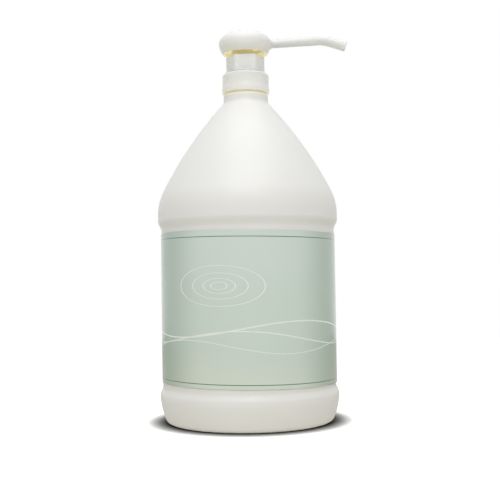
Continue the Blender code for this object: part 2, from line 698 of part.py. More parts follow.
def make_outlet_cage(parent):
    """Notched tube in the stem's top that holds the outlet ball down."""
    plastic = finish("outlet_cage_pp", "D9DAD2", 0.4)
    top = min(outlet_cage_bottom + OUTLET_CAGE_LENGTH, stem_top)
    outer = STEM_BORE - GAP
    outline = tube_outline(OUTLET_CAGE_BORE, outer, outlet_cage_bottom, top)
    cage = turned("outlet_cage", outline, TUBE_SEGMENTS, parent, plastic)
    for bar in cross_slots("outlet_slot_tool", OUTLET_CAGE_SLOT, OUTLET_CAGE_SLOT_DEPTH,
                           4 * outer, outlet_cage_bottom, parent):
        combine(cage, bar, "DIFFERENCE")
    return cage


def make_sleeve(parent):
    """Sleeve on the head's hub that locks into the collar's cup."""
    plastic = finish("lock_sleeve_pp", "DDD9BC", 0.45)
    inner = HUB_RADIUS + GAP
    chamfer = STEM_CHAMFER
    outline = [
        (inner, head_bottom), (SLEEVE_RADIUS - chamfer, head_bottom),
        (SLEEVE_RADIUS, head_bottom + chamfer), (SLEEVE_RADIUS, sleeve_top),
        (inner, sleeve_top)]
    return turned("lock_sleeve", outline, PUMP_SEGMENTS, parent, plastic)


def head_outline():
    """Dome, rim, hollow underside, hub and stem socket as one closed outline."""
    centre = (0, head_waist)
    rim_angle = -degrees(asin(HEAD_RIM_DROP / HEAD_BELLY))
    crown = ellipse(centre, HEAD_RADIUS, HEAD_CROWN, 90, 0, 7)
    crown[0] = (0, head_waist + HEAD_CROWN)
    belly = ellipse(centre, HEAD_RADIUS, HEAD_BELLY, 0, rim_angle, 4)
    inner_radius = HEAD_RADIUS - HEAD_WALL
    hub_angle = degrees(acos(HUB_RADIUS / inner_radius))
    inner_belly = ellipse(centre, inner_radius, HEAD_BELLY, rim_angle, 0, 2)
    ceiling = ellipse(centre, inner_radius, HEAD_CROWN - HEAD_WALL, 0, hub_angle, 4)
    socket = STEM_RADIUS + GAP
    socket_end = head_bottom + STEM_SOCKET
    rim = [(belly[-1][0] - RIM_ROUND, head_rim - RIM_ROUND / 2)]
    hub = [(HUB_RADIUS, head_bottom), (socket, head_bottom), (socket, socket_end),
           (STEM_BORE, socket_end), (STEM_BORE, chamber_top), (0, chamber_top)]
    return crown + belly[1:] + rim + inner_belly + ceiling[1:] + hub


def spout_path(start, overrun=0.0):
    """Rising line, bend and falling tip, as (x, height) points."""
    rise, drop = radians(SPOUT_RISE_ANGLE), radians(SPOUT_DROP_ANGLE)
    bend_start = SPOUT_BEND_REACH - SPOUT_BEND_RADIUS * tan((rise + drop) / 2)
    bend_height = spout_root_height + bend_start * tan(rise)
    centre = (bend_start + SPOUT_BEND_RADIUS * sin(rise),
              bend_height - SPOUT_BEND_RADIUS * cos(rise))
    bend = arc(centre, SPOUT_BEND_RADIUS, 90 + SPOUT_RISE_ANGLE, 90 - SPOUT_DROP_ANGLE, 4)
    end = SPOUT_REACH + overrun
    tip = (end, bend[-1][1] - (end - bend[-1][0]) * tan(drop))
    steps = 4
    flare = [flare_start + SPOUT_FLARE_LENGTH * i / steps for i in range(steps + 1)]
    reaches = [start, flare_start - HEAD_WALL / 2] + flare
    line = [(x, spout_root_height + x * tan(rise)) for x in reaches]
    return line + bend + [tip]


def spout_radii(path):
    """The spout narrows out of the dome and then widens slowly to its tip."""
    radii = []
    for x, _ in path:
        along = max(0.0, (x - flare_start) / (SPOUT_REACH - flare_start))
        plain = SPOUT_ROOT_RADIUS + (SPOUT_TIP_RADIUS - SPOUT_ROOT_RADIUS) * along
        left = max(0.0, 1 - (x - flare_start) / SPOUT_FLARE_LENGTH)
        radii.append(plain + SPOUT_FLARE * left ** 2 if x >= flare_start else plain)
    return radii


def rib_outline():
    """One rib in the XZ plane: seat over the sleeve, foot near the rim, back in the dome."""
    inner = HUB_RADIUS - HUB_BITE
    middle = HEAD_RADIUS - HEAD_WALL / 2
    beyond = SLEEVE_RADIUS + GAP
    seat = sleeve_top + GAP
    foot = head_rim + RIB_FOOT_ROOM
    foot_angle = -degrees(asin((head_waist - foot) / HEAD_BELLY))
    top_angle = degrees(acos(inner / middle))
    centre = (0, head_waist)
    side = ellipse(centre, middle, HEAD_BELLY, foot_angle, 0, 2)
    roof = ellipse(centre, middle, HEAD_CROWN - HEAD_WALL / 2, 0, top_angle, 3)
    return [(inner, seat), (beyond, seat), (beyond, foot)] + side + roof[1:]


def make_ribs(parent):
    """Radial ribs, as plates spaced evenly round the hub."""
    bm = bmesh.new()
    for i in range(RIB_COUNT):
        angle = radians(RIB_START + 360 * i / RIB_COUNT)
        turn = Matrix.Rotation(angle, 4, "Z")
        edge = [turn @ Vector((r, -RIB_THICKNESS / 2, z)) for r, z in rib_outline()]
        plate = bm.faces.new([bm.verts.new(p) for p in edge])
        grown = bmesh.ops.extrude_face_region(bm, geom=[plate])
        moved = [v for v in grown["geom"] if isinstance(v, bmesh.types.BMVert)]
        bmesh.ops.translate(bm, verts=moved, vec=turn @ Vector((0, RIB_THICKNESS, 0)))
    return add_object("head_ribs_tool", bm, parent)


def make_head(parent):
    """Dome and hub turned in one, with the spout and ribs joined on and a channel cut."""
    plastic = finish("head_pp", "EFEFE8", 0.3)
    head = turned("head", head_outline(), PUMP_SEGMENTS, parent, plastic)
    path = spout_path(HUB_RADIUS - HUB_BITE)
    spout = swept_mesh(path, spout_radii(path), SPOUT_SIDES)
    combine(head, add_object("spout_form_tool", spout, parent), "UNION")
    combine(head, make_ribs(parent), "UNION")
    channel = spout_path(0.0, overrun=2 * SPOUT_TIP_RADIUS)
    bore = swept_mesh(channel, [SPOUT_BORE] * len(channel), SPOUT_SIDES)
    combine(head, add_object("spout_bore_tool", bore, parent), "DIFFERENCE")
    return head


def main():
    clear_scene()
    bottle_axis = frame_point("bottle_axis")
    pump_axis = frame_point("pump_axis", bottle_axis, seal_plane)
    closure_axis = frame_point("closure_axis", pump_axis)
    plunger_axis = frame_point("plunger_axis", pump_axis)
    make_bottle(bottle_axis)
    make_label(bottle_axis)
    make_gasket(pump_axis)
    make_housing(pump_axis)
    make_collar(pump_axis)
    make_wiper(pump_axis)
    make_dip_tube(pump_axis)
    make_ball_cage(pump_axis)
    make_spring(pump_axis)
    make_closure(closure_axis)
    steel = finish("inlet_ball_steel", "C9C9C6", 0.12, metallic=1.0)
    ball("inlet_ball", INLET_BALL_RADIUS, inlet_ball_height, pump_axis, steel)
    make_piston(plunger_axis)
    make_rod(plunger_axis)
    make_stem(plunger_axis)
    glass = finish("outlet_ball_glass", "D5DEDC", 0.05, transmission=0.6)
    ball("outlet_ball", OUTLET_BALL_RADIUS, outlet_ball_height, plunger_axis, glass)
    make_outlet_cage(plunger_axis)
    make_sleeve(plunger_axis)
    make_head(plunger_axis)


main()
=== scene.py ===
import bmesh
import bpy
import numpy as np
from mathutils import Matrix, Vector


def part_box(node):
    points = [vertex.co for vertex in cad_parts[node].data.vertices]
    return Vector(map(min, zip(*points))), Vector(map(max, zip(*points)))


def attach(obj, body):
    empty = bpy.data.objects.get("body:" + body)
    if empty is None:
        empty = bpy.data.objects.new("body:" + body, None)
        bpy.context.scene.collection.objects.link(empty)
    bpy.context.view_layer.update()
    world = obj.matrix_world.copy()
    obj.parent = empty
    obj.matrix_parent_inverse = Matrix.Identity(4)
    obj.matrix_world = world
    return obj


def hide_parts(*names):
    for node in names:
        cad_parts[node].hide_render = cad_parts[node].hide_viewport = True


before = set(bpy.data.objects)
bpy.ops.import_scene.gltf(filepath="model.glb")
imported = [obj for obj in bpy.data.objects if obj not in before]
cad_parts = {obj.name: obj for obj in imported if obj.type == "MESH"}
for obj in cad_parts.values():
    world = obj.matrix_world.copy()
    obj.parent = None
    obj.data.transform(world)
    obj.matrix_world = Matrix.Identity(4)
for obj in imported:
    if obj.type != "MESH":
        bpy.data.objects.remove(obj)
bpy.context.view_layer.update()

mm = 0.001
fullTurn = 2 * np.pi
mergeGap = 0.0005           # points closer than this are one point
samePlace = 0.01            # how near a radius or height has to be to belong to a surface
seatGap = 0.3               # between pieces that touch or slide, as in the solids
print("stage: packed frame loaded,", len(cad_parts), "nodes")


def hexColour(code):
    # an sRGB hex colour as the linear colour that shaders work in
    shade = np.array([int(code[i:i + 2], 16) / 255 for i in (0, 2, 4)])
    linear = np.where(shade < 0.04045, shade / 12.92, ((shade + 0.055) / 1.055) ** 2.4)
    return (*linear.tolist(), 1.0)


def addNode(tree, kind, inputs=None, **settings):
    # a node with its settings; an input is a plain value, or the socket that feeds it
    node = tree.nodes.new(kind)
    for name, value in settings.items():
        setattr(node, name, value)
    for name, value in (inputs or {}).items():
        if isinstance(value, bpy.types.NodeSocket):
            tree.links.new(value, node.inputs[name])
        else:
            node.inputs[name].default_value = value
    return node


# Outlines are arrays of (radius, height) points in millimetres

def arcPoints(centre, radius, start, end, steps):
    # centre + radius (cos a, sin a), with a running evenly between two angles in degrees
    a = np.radians(np.linspace(start, end, steps + 1))
    return np.stack([centre[0] + radius * np.cos(a), centre[1] + radius * np.sin(a)], 1)


def ellipsePoints(centre, across, up, start, end, steps):
    # centre + (across cos a, up sin a), with a running evenly between two angles in degrees
    a = np.radians(np.linspace(start, end, steps + 1))
    return np.stack([centre[0] + across * np.cos(a), centre[1] + up * np.sin(a)], 1)


def bowedLine(start, end, steps, bow=0.0):
    # a straight line plus a parabola of height bow, square to it and on its right
    a, b = np.array(start, float), np.array(end, float)
    t = np.linspace(0, 1, steps + 1)[:, None]
    run = (b - a) / np.linalg.norm(b - a)
    return a + (b - a) * t + np.array([run[1], -run[0]]) * 4 * bow * t * (1 - t)


def easedStep(low, high, steps):
    # half a cosine wave from one radius to another while the height runs evenly
    t = np.linspace(0, 1, steps + 1)
    share = (1 - np.cos(np.pi * t)) / 2
    return np.stack([low[0] + (high[0] - low[0]) * share, low[1] + (high[1] - low[1]) * t], 1)


def cornerCurve(start, corner, end, steps):
    # quadratic curve (1-t)^2 start + 2t(1-t) corner + t^2 end
    t = np.linspace(0, 1, steps + 1)[:, None]
    a, b, c = (np.array(p, float) for p in (start, corner, end))
    return (1 - t) ** 2 * a + 2 * t * (1 - t) * b + t ** 2 * c


roundSteps = 5
perCorner = roundSteps + 3      # points that each corner of an outline turns into
sideShare = 0.42                # how much of a side one rounding may take up
guardShare = 0.15               # the guard point's distance, as a share of the rounding


def roundedOutline(corners):
    # Every corner (radius, height, rounding) turns into an arc that touches both its sides,
    # as a rational quadratic curve whose middle weight is the sine of half the corner's angle.
    # A guard point beside each end of the arc keeps the flats flat in the shading.
    c = np.array(corners, float)
    point, rounding = c[:, :2], c[:, 2]
    back, ahead = np.roll(point, 1, 0) - point, np.roll(point, -1, 0) - point
    backLength, aheadLength = np.linalg.norm(back, axis=1), np.linalg.norm(ahead, axis=1)
    back, ahead = back / backLength[:, None], ahead / aheadLength[:, None]
    half = np.arccos(np.clip((back * ahead).sum(1), -1, 1)) / 2
    reach = np.minimum(rounding / np.tan(half), sideShare * np.minimum(backLength, aheadLength))
    first, last = point + back * reach[:, None], point + ahead * reach[:, None]
    t = np.linspace(0, 1, roundSteps + 1)[None, :, None]
    weight = 2 * t * (1 - t) * np.sin(half)[:, None, None]
    total = (1 - t) ** 2 + weight + t ** 2
    arcs = ((1 - t) ** 2 * first[:, None] + weight * point[:, None] + t ** 2 * last[:, None]) / total
    away = guardShare * reach[:, None]
    guard = np.stack([first + back * away, last + ahead * away], 1)
    return np.concatenate([guard[:, :1], arcs, guard[:, 1:]], 1).reshape(-1, 2)


def roundedStretch(corners):
    # the same with both end corners left out, for a part of a longer outline
    return roundedOutline(corners)[perCorner:-perCorner]


def offsetOutline(outline, distance):
    # each point moved square to the outline, to its left, along the mean of its two sides
    run = np.gradient(outline, axis=0)
    run /= np.linalg.norm(run, axis=1)[:, None]
    return outline + np.stack([-run[:, 1], run[:, 0]], 1) * distance


# Meshes from grids of points

def gridPiece(name, grid, wrapRows=True, wrapColumns=True):
    # neighbours in a (rows, columns, 3) grid of millimetres make quads; rows that shrink to one
    # point are merged, so a pole or a cap is closed
    rows, columns = grid.shape[:2]
    index = np.arange(rows * columns).reshape(rows, columns)
    index = np.vstack([index, index[:1]]) if wrapRows else index
    index = np.hstack([index, index[:, :1]]) if wrapColumns else index
    corners = [index[:-1, :-1], index[:-1, 1:], index[1:, 1:], index[1:, :-1]]
    quads = np.stack(corners, -1).reshape(-1, 4)
    mesh = bpy.data.meshes.new(name)
    mesh.from_pydata((grid * mm).reshape(-1, 3).tolist(), [], quads.tolist())
    tidy = bmesh.new()
    tidy.from_mesh(mesh)
    bmesh.ops.remove_doubles(tidy, verts=tidy.verts, dist=mergeGap * mm)
    bmesh.ops.recalc_face_normals(tidy, faces=tidy.faces)
    tidy.to_mesh(mesh)
    tidy.free()
    mesh.shade_smooth()
    piece = bpy.data.objects.new(name, mesh)
    bpy.context.scene.collection.objects.link(piece)
    return piece


def turnedPiece(name, outline, columns=160, change=None):
    # the outline turned about Z: (r, z) at angle t stands at (r cos t, r sin t, z); change may
    # first add to r and z by angle, for flats, threads and seams
    t = columns if isinstance(columns, np.ndarray) else \
        np.linspace(0, fullTurn, columns, endpoint=False)
    r, z = (np.repeat(outline[:, i:i + 1], len(t), 1) for i in (0, 1))
    if change:
        r, z = change(r, z, t[None, :])
    grid = np.stack([r * np.cos(t), r * np.sin(t), z], -1)
    return gridPiece(name, grid, wrapRows=bool(outline[0, 0] > 0))


def boxPiece(name, size, centre):
    # an upright box: corners (+-1, +-1, +-1) times half its size, closed at both ends
    side = np.array([[-1, -1], [1, -1], [1, 1], [-1, 1]]) * np.array(size[:2]) / 2
    heights = np.array([-1, -1, 1, 1]) * size[2] / 2
    rows = [np.hstack([side * wide, np.full((4, 1), height)])
            for wide, height in zip((0, 1, 1, 0), heights)]
    return gridPiece(name, np.stack(rows) + np.array(centre), wrapRows=False)


def threadRidge(z, t, thread, low, high, phase=0.0):
    # a right-hand screw ridge: its crest is where z - pitch t / 2 pi is a whole number of
    # pitches, its flanks fall off as a raised cosine, and it fades in and out at both ends
    pitch, height, width = thread["pitch"], thread["height"], thread["width"]
    lead = (z - low) / pitch - t / fullTurn - phase
    across = np.abs(lead - np.round(lead)) * pitch / (width / 2)
    crest = np.where(across < 1, (1 + np.cos(np.pi * np.clip(across, 0, 1))) / 2, 0) ** 0.5
    fade = np.clip((z - low) / width, 0, 1) * np.clip((high - z) / width, 0, 1)
    return height * crest * fade


def combined(piece, tool, operation):
    # an exact boolean with the tool used up, kept as plain mesh data
    step = piece.modifiers.new(operation, "BOOLEAN")
    step.operation, step.solver, step.object = operation, "EXACT", tool
    made = piece.evaluated_get(bpy.context.evaluated_depsgraph_get())
    mesh = bpy.data.meshes.new_from_object(made)
    piece.modifiers.clear()
    piece.data = mesh
    bpy.data.objects.remove(tool)
    return piece


def crisp(piece, angle=35):
    # smooth shading, broken where two faces meet at more than this angle
    piece.data.shade_smooth()
    piece.data.set_sharp_from_angle(angle=np.radians(angle))
    return piece


def span(node):
    # a node's lowest and highest point, in millimetres
    low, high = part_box(node)
    return low.z / mm, high.z / mm


def settle(piece, body, material, slot, *nodes):
    # what every finished piece needs: its material, its body and the nodes it stands for
    piece.data.materials.clear()
    piece.data.materials.append(material)
    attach(piece, body)
    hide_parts(*nodes)
    return piece


# Materials

noiseRange = 0.3, 0.7       # where most of a noise texture's values lie
zoneBlur = 0.015            # how far a hidden side fades in at its ellipsoid, as a share of it
flowStrength = 0.25         # of the bumps that the melt's flow leaves
grainStrength = 0.3         # of the finer bumps of the mould's own surface
scatter = 1.0, 0.92, 0.7    # red light goes furthest in a pale resin, and blue least


def newMaterial(name):
    made = bpy.data.materials.new(name)
    made.use_nodes = True
    made.node_tree.nodes.clear()
    return made, made.node_tree


def objectPlace(tree):
    return addNode(tree, "ShaderNodeTexCoord").outputs["Object"]


def worked(tree, operation, *terms):
    # a sum, a product or another step on numbers and sockets, as the socket of its result
    return addNode(tree, "ShaderNodeMath", dict(enumerate(terms)), operation=operation).outputs[0]


def noise(tree, place, size, detail=2.0):
    # soft random grain whose size is in millimetres
    return addNode(tree, "ShaderNodeTexNoise", {
        "Vector": place, "Scale": 1 / (size * mm), "Detail": detail}).outputs["Fac"]


def spread(tree, value, start, end, low=0.0, high=1.0, **settings):
    # what lies between start and end, carried over to between low and high
    return addNode(tree, "ShaderNodeMapRange", {
        "Value": value, "From Min": start, "From Max": end, "To Min": low, "To Max": high},
        **settings).outputs["Result"]


def painted(tree, share, under, over, **settings):
    # one colour over another by a share from 0 to 1; an sRGB code stands for an even colour
    under, over = (hexColour(c) if isinstance(c, str) else c for c in (under, over))
    return addNode(tree, "ShaderNodeMix", {0: share, 6: under, 7: over},
                   data_type="RGBA", **settings).outputs[2]


def dented(tree, height, strength, depth, **under):
    # the normal of a surface that a height pattern pushes out by up to depth millimetres
    return addNode(tree, "ShaderNodeBump", {
        "Height": height, "Strength": strength, "Distance": depth * mm, **under}).outputs["Normal"]


def surfaced(tree, inputs, kind="ShaderNodeBsdfPrincipled"):
    shader = addNode(tree, kind, inputs)
    addNode(tree, "ShaderNodeOutputMaterial", {"Surface": shader.outputs[0]})


def paintedGlowMask(tree, place, zone):
    # 1 inside an upright ellipsoid or cylinder and between two heights, for the hidden side of a
    # moulding that gets painted light, with edges a few tenths of a millimetre wide
    scale = [1 / (zone[way] * mm) for way in ("across", "across", "up")]
    centred = addNode(tree, "ShaderNodeMapping", {
        "Vector": place, "Location": (0, 0, -zone["centre"] * mm * scale[2]), "Scale": scale})
    distance = addNode(tree, "ShaderNodeVectorMath", {0: centred.outputs[0]}, operation="LENGTH")
    within = spread(tree, distance.outputs["Value"], 1.0, 1.0 - zoneBlur)
    height = addNode(tree, "ShaderNodeSeparateXYZ", {"Vector": place}).outputs["Z"]
    low, high, edge = (zone[name] * mm for name in ("low", "high", "edge"))
    above = spread(tree, height, low - edge, low + edge)
    below = spread(tree, height, high + edge, high - edge)
    return worked(tree, "MULTIPLY", within, worked(tree, "MULTIPLY", above, below))


def mouldedPlastic(name, look, zone=None):
    # An injection-moulded or blown plastic: an even colour that drifts a little with the wall's
    # thickness, a gloss that varies with the mould's polish, and a faint skin of flow and grain.
    made, tree = newMaterial(name)
    place = objectPlace(tree)
    colour = painted(tree, noise(tree, place, look["driftSize"]),
                     look["colour"], look["thinColour"])
    polish = noise(tree, place, look["polishSize"], 3.0)
    gloss = spread(tree, polish, *noiseRange, look["roughness"] - look["roughnessDrift"],
                   look["roughness"] + look["roughnessDrift"])
    flow = dented(tree, polish, flowStrength, look["flowDepth"])
    skin = dented(tree, noise(tree, place, look["grainSize"]), grainStrength,
                  look["grainDepth"], Normal=flow)
    through = {}
    if zone:
        # painted light on the hidden side: an ivory colour and a painted glow stand for the daylight that
        # comes through the wall
        paintedGlowShare = paintedGlowMask(tree, place, zone)
        colour = painted(tree, paintedGlowShare, colour, zone["colour"])
        through = {"Emission Color": hexColour(zone["throughColour"]),
                   "Emission Strength": worked(tree, "MULTIPLY", paintedGlowShare, zone["through"])}
    surfaced(tree, {
        "Base Color": colour, "Roughness": gloss, "Normal": skin, "IOR": look["ior"],
        "Subsurface Weight": look["glow"], "Subsurface Radius": scatter,
        "Subsurface Scale": look["glowDepth"] * mm, **through})
    return made


# high-density polyethylene, extrusion blown in a sand-blasted mould: a soft satin white
blownPolyethylene = {
    "colour": "F5F5F2", "thinColour": "F1F0EC", "driftSize": 60, "roughness": 0.42,
    "roughnessDrift": 0.05, "polishSize": 7, "flowDepth": 0.12, "grainSize": 0.9,
    "grainDepth": 0.02, "ior": 1.54, "glow": 0.2, "glowDepth": 2.5}

# polypropylene copolymer from a polished mould: smoother and a touch warmer than the bottle
mouldedPolypropylene = {
    "colour": "F8F8F3", "thinColour": "F4F4EC", "driftSize": 25, "roughness": 0.3,
    "roughnessDrift": 0.04, "polishSize": 5, "flowDepth": 0.06, "grainSize": 0.7,
    "grainDepth": 0.008, "ior": 1.49, "glow": 0.9, "glowDepth": 3.5}

# the same resin in an ivory colour, which is painted warm light for the shade under the head, where light
# comes through the walls and bounces
paintedWarmLightPolypropylene = {
    "colour": "F3ECC4", "thinColour": "EEE6B8", "driftSize": 12, "roughness": 0.42,
    "roughnessDrift": 0.05, "polishSize": 4, "flowDepth": 0.05, "grainSize": 0.6,
    "grainDepth": 0.01, "ior": 1.49, "glow": 0.8, "glowDepth": 3.0}

# low-density polyethylene, drawn as tube or moulded soft: milky and waxy
softPolyethylene = {
    "colour": "E6E7E2", "thinColour": "DDE0DD", "driftSize": 15, "roughness": 0.5,
    "roughnessDrift": 0.05, "polishSize": 6, "flowDepth": 0.05, "grainSize": 0.8,
    "grainDepth": 0.01, "ior": 1.51, "glow": 0.3, "glowDepth": 2.0}

# thermoplastic elastomer, moulded matt: it drags light out into a dull even tone
mattElastomer = {
    "colour": "D9D9D2", "thinColour": "D2D2CA", "driftSize": 8, "roughness": 0.72,
    "roughnessDrift": 0.04, "polishSize": 3, "flowDepth": 0.03, "grainSize": 0.4,
    "grainDepth": 0.02, "ior": 1.5, "glow": 0.1, "glowDepth": 0.8}

pumpPlastic = mouldedPlastic("mouldedPolypropylene", mouldedPolypropylene)
innerPlastic = mouldedPlastic("plainPolypropylene", dict(
    mouldedPolypropylene, colour="E9E9E2", thinColour="E2E2D8", roughness=0.4))
# the lock sleeve shows only in the shade under the head; its ivory colour is painted warm light
sleevePlastic = mouldedPlastic("paintedWarmLightPolypropylene", paintedWarmLightPolypropylene)
tubePlastic = mouldedPlastic("drawnPolyethylene", softPolyethylene)
pistonPlastic = mouldedPlastic("softPolyethylene", dict(
    softPolyethylene, colour="DDE4E9", thinColour="D4DDE4"))
wiperRubber = mouldedPlastic("mattElastomer", mattElastomer)
print("stage: plastics mixed")


sealPlane = span("cap_gasket")[1] + seatGap     # the underside of the housing's flange

# the screw thread of a 38 mm neck, and how far it stays off the bead and the lip
neckThread = {"pitch": 4.233, "height": 0.95, "width": 1.9, "room": 1.5}

bottle = {
    "height": span("bottle")[1], "pushUp": 6.5, "pushUpCorner": 4.0, "pushUpBow": 0.9,
    "footInner": 63.75, "footOuter": 68.25, "footCorner": 5.5, "lean": 14.0,
    "baseRadius": 77.75, "baseBulge": 21.0, "baseBow": 0.6, "baseTop": 24.5,
    "panelRadius": 75.4, "panelBottom": 31.5, "panelTop": 165.0,
    "shoulderRadius": 78.4, "shoulderFoot": 174.0, "shoulderStart": 179.2,
    "shoulderCurve": 45.0, "shoulderAngle": 27.5, "coneBow": 3.0,
    "neckRadius": 19.6, "neckFillet": 5.0, "filletDrop": 0.3, "finishHeight": 13.1,
    "beadHeight": 8.0, "beadCorner": 1.6, "finishRadius": 17.5, "bore": 15.6,
    "lipRound": 0.5, "wall": 1.3,
    "seamHeight": 0.1, "seamWidth": 0.45, "pinchLength": 46.0, "pinchHeight": 0.5,
    "pinchWidth": 0.7, "pinchFade": 6.0, "columns": 180,
    # more columns close to the parting lines, by their angle from them in radians
    "seamAngles": (0.0012, 0.0025, 0.004, 0.006, 0.009, 0.013, 0.02, 0.032, 0.045),
}
bottle["beadTop"] = bottle["height"] - bottle["finishHeight"]
bottle["beadBottom"] = bottle["beadTop"] - bottle["beadHeight"]


def bottleOutline(b):
    # from the base's centre out over the foot, up the side to the lip, and back down inside
    dome = bowedLine((0, b["pushUp"]), (b["footInner"] - b["pushUpCorner"], b["pushUpCorner"]),
                     14, -b["pushUpBow"])
    fillet = arcPoints((b["footInner"] - b["pushUpCorner"], 0), b["pushUpCorner"], 90, 4, 6)
    corner = arcPoints((b["footOuter"], b["footCorner"]), b["footCorner"], -90, -b["lean"], 10)
    side = bowedLine(corner[-1], (b["baseRadius"], b["baseBulge"]), 10, b["baseBow"])
    stepIn = easedStep((b["baseRadius"], b["baseTop"]),
                       (b["panelRadius"], b["panelBottom"]), 12)
    panel = bowedLine(stepIn[-1], (b["panelRadius"], b["panelTop"]), 24)
    stepOut = easedStep(panel[-1], (b["shoulderRadius"], b["shoulderFoot"]), 14)
    bend = arcPoints((b["shoulderRadius"] - b["shoulderCurve"], b["shoulderStart"]),
                     b["shoulderCurve"], 0, b["shoulderAngle"], 16)
    halfFillet = b["neckFillet"] / 2
    root = (b["neckRadius"] + halfFillet, b["beadBottom"] - halfFillet)
    cone = bowedLine(bend[-1], root, 30, b["coneBow"])
    neck = cornerCurve(root, (b["neckRadius"], b["beadBottom"] - b["filletDrop"]),
                       (b["neckRadius"], b["beadBottom"] + halfFillet), 8)
    body = np.vstack([dome, fillet, corner, side, stepIn[1:], panel[1:], stepOut[1:], bend,
                      cone[1:], neck[1:]])
    bead = arcPoints((b["neckRadius"] - b["beadCorner"], b["beadTop"] - b["beadCorner"]),
                     b["beadCorner"], 0, 86, 6)
    finish = bowedLine((b["finishRadius"], b["beadTop"]),
                       (b["finishRadius"], b["height"] - b["lipRound"]), 56)
    lip = arcPoints((b["finishRadius"] - b["lipRound"], b["height"] - b["lipRound"]),
                    b["lipRound"], 0, 90, 4)
    mouth = arcPoints((b["bore"] + b["lipRound"], b["height"] - b["lipRound"]),
                      b["lipRound"], 90, 180, 4)
    boreEnd = np.array([[b["bore"], b["beadBottom"]]])
    inside = offsetOutline(body, b["wall"])
    inside[0, 0] = 0
    wide = (inside[:, 0] > b["bore"] + b["wall"]) | (inside[:, 1] < b["panelBottom"])
    return np.vstack([body, bead, finish, lip, mouth, boreEnd, inside[wide][::-1]])


def makeBottle():
    b = bottle
    outline = bottleOutline(b)
    bodyRows = int(np.argmax(outline[:, 1] >= b["beadBottom"]))
    near = np.array(b["seamAngles"])
    even = np.linspace(0, fullTurn, b["columns"], endpoint=False)
    angles = np.unique(np.concatenate([even] + [s + side * near for s in (0, np.pi)
                                                for side in (-1, 1)]) % fullTurn)

    def change(r, z, t):
        # A thread on the finish, a fine parting line at +X and -X up the outside of the body,
        # and under the base the straight ridge where the mould pinched the tube off.
        finish = (np.abs(r - b["finishRadius"]) < samePlace) & (z > b["beadTop"])
        r = r + finish * threadRidge(z, t, neckThread, b["beadTop"] + neckThread["room"],
                                     b["height"] - neckThread["room"])
        outside = np.zeros_like(r)
        outside[:bodyRows] = 1
        y = r * np.sin(t)
        seam = np.exp(-(y / b["seamWidth"]) ** 2)
        under = outside * (r < b["pinchLength"]) * np.exp(-(y / b["pinchWidth"]) ** 2)
        ends = np.clip((b["pinchLength"] - r) / b["pinchFade"], 0, 1)
        return (r - outside * b["seamHeight"] * (1 - seam) * (r > b["footInner"]),
                z - b["pinchHeight"] * under * ends)

    # painted light: above the bead, in the shade under the closure, the neck is painted ivory with a faint
    # painted glow, for the warm light that comes through the cap's wall
    material = mouldedPlastic("blownPolyethyleneSatin", blownPolyethylene, {
        "across": 60, "up": 60, "centre": b["height"], "low": b["beadTop"] - 2.1,
        "high": b["height"] + 5, "edge": 0.6, "colour": "F8F4E0",
        "through": 0.05, "throughColour": "FFF8E4"})
    piece = turnedPiece("bottleShell", outline, angles, change)
    return settle(piece, "bottle", material, "bottle_hdpe", "bottle")


makeBottle()
print("stage: bottle made")


label = {
    "low": span("label")[0], "high": span("label")[1], "radius": 76.0, "tilt": -0.014,
    "lowTrim": 1.2, "lowBow": 0.8, "highTrim": 2.0,
    "thickness": 0.3, "gap": 2.0, "columns": 240, "rows": 40, "edgeRows": (0.002, 0.004),
    "mist": "D6E3DC",
    # broad washes of ink below a swelling line: colour, height, swing, length, shift, softness;
    # they start a little above it
    "washes": (("D3E1D8", 104, 8, 330, 60, 40), ("DAE5D8", 34, 7, 250, 150, 30)),
    "washEdge": 0.3,
    # a painted shade towards both flanks, where the label turns away from the light: colour, where it
    # starts and where it is full
    "paintedFlankShade": ("A6BBAC", 36, 94),
    # fine lines that swell in the same way: colour, height, swing, length, shift, width
    "lines": (("EEF4EE", 49, 7.0, 230, 10, 1.0), ("EEF4EE", 42, 6.0, 200, 55, 0.8),
              ("E7F0E8", 35, 5.0, 170, 95, 0.6)),
    "lineBlur": 0.15,
    # flat rings as from a drop in water, off the middle
    "drops": {"colour": "EEF4EE", "along": -24, "height": 84, "ring": 7.0, "step": 3.4,
              "width": 0.8, "blur": 0.2, "count": 4, "squash": 2.3},
    # a thin dark rule along each edge, all the way round
    "rules": {"colour": "6D8176", "heights": (5.5, 123.5), "width": 0.6, "blur": 0.1},
    "inkGrain": 1.2, "inkRange": (0.99, 1.01),
    # the blown wall's upright waves, which the film follows, and the varnish over it all
    "fluteSize": 7, "fluteSquash": 0.06, "fluteDepth": 0.12, "fluteStrength": 0.3,
    "roughness": 0.24, "ior": 1.5, "varnish": 0.5, "varnishRoughness": 0.1,
}


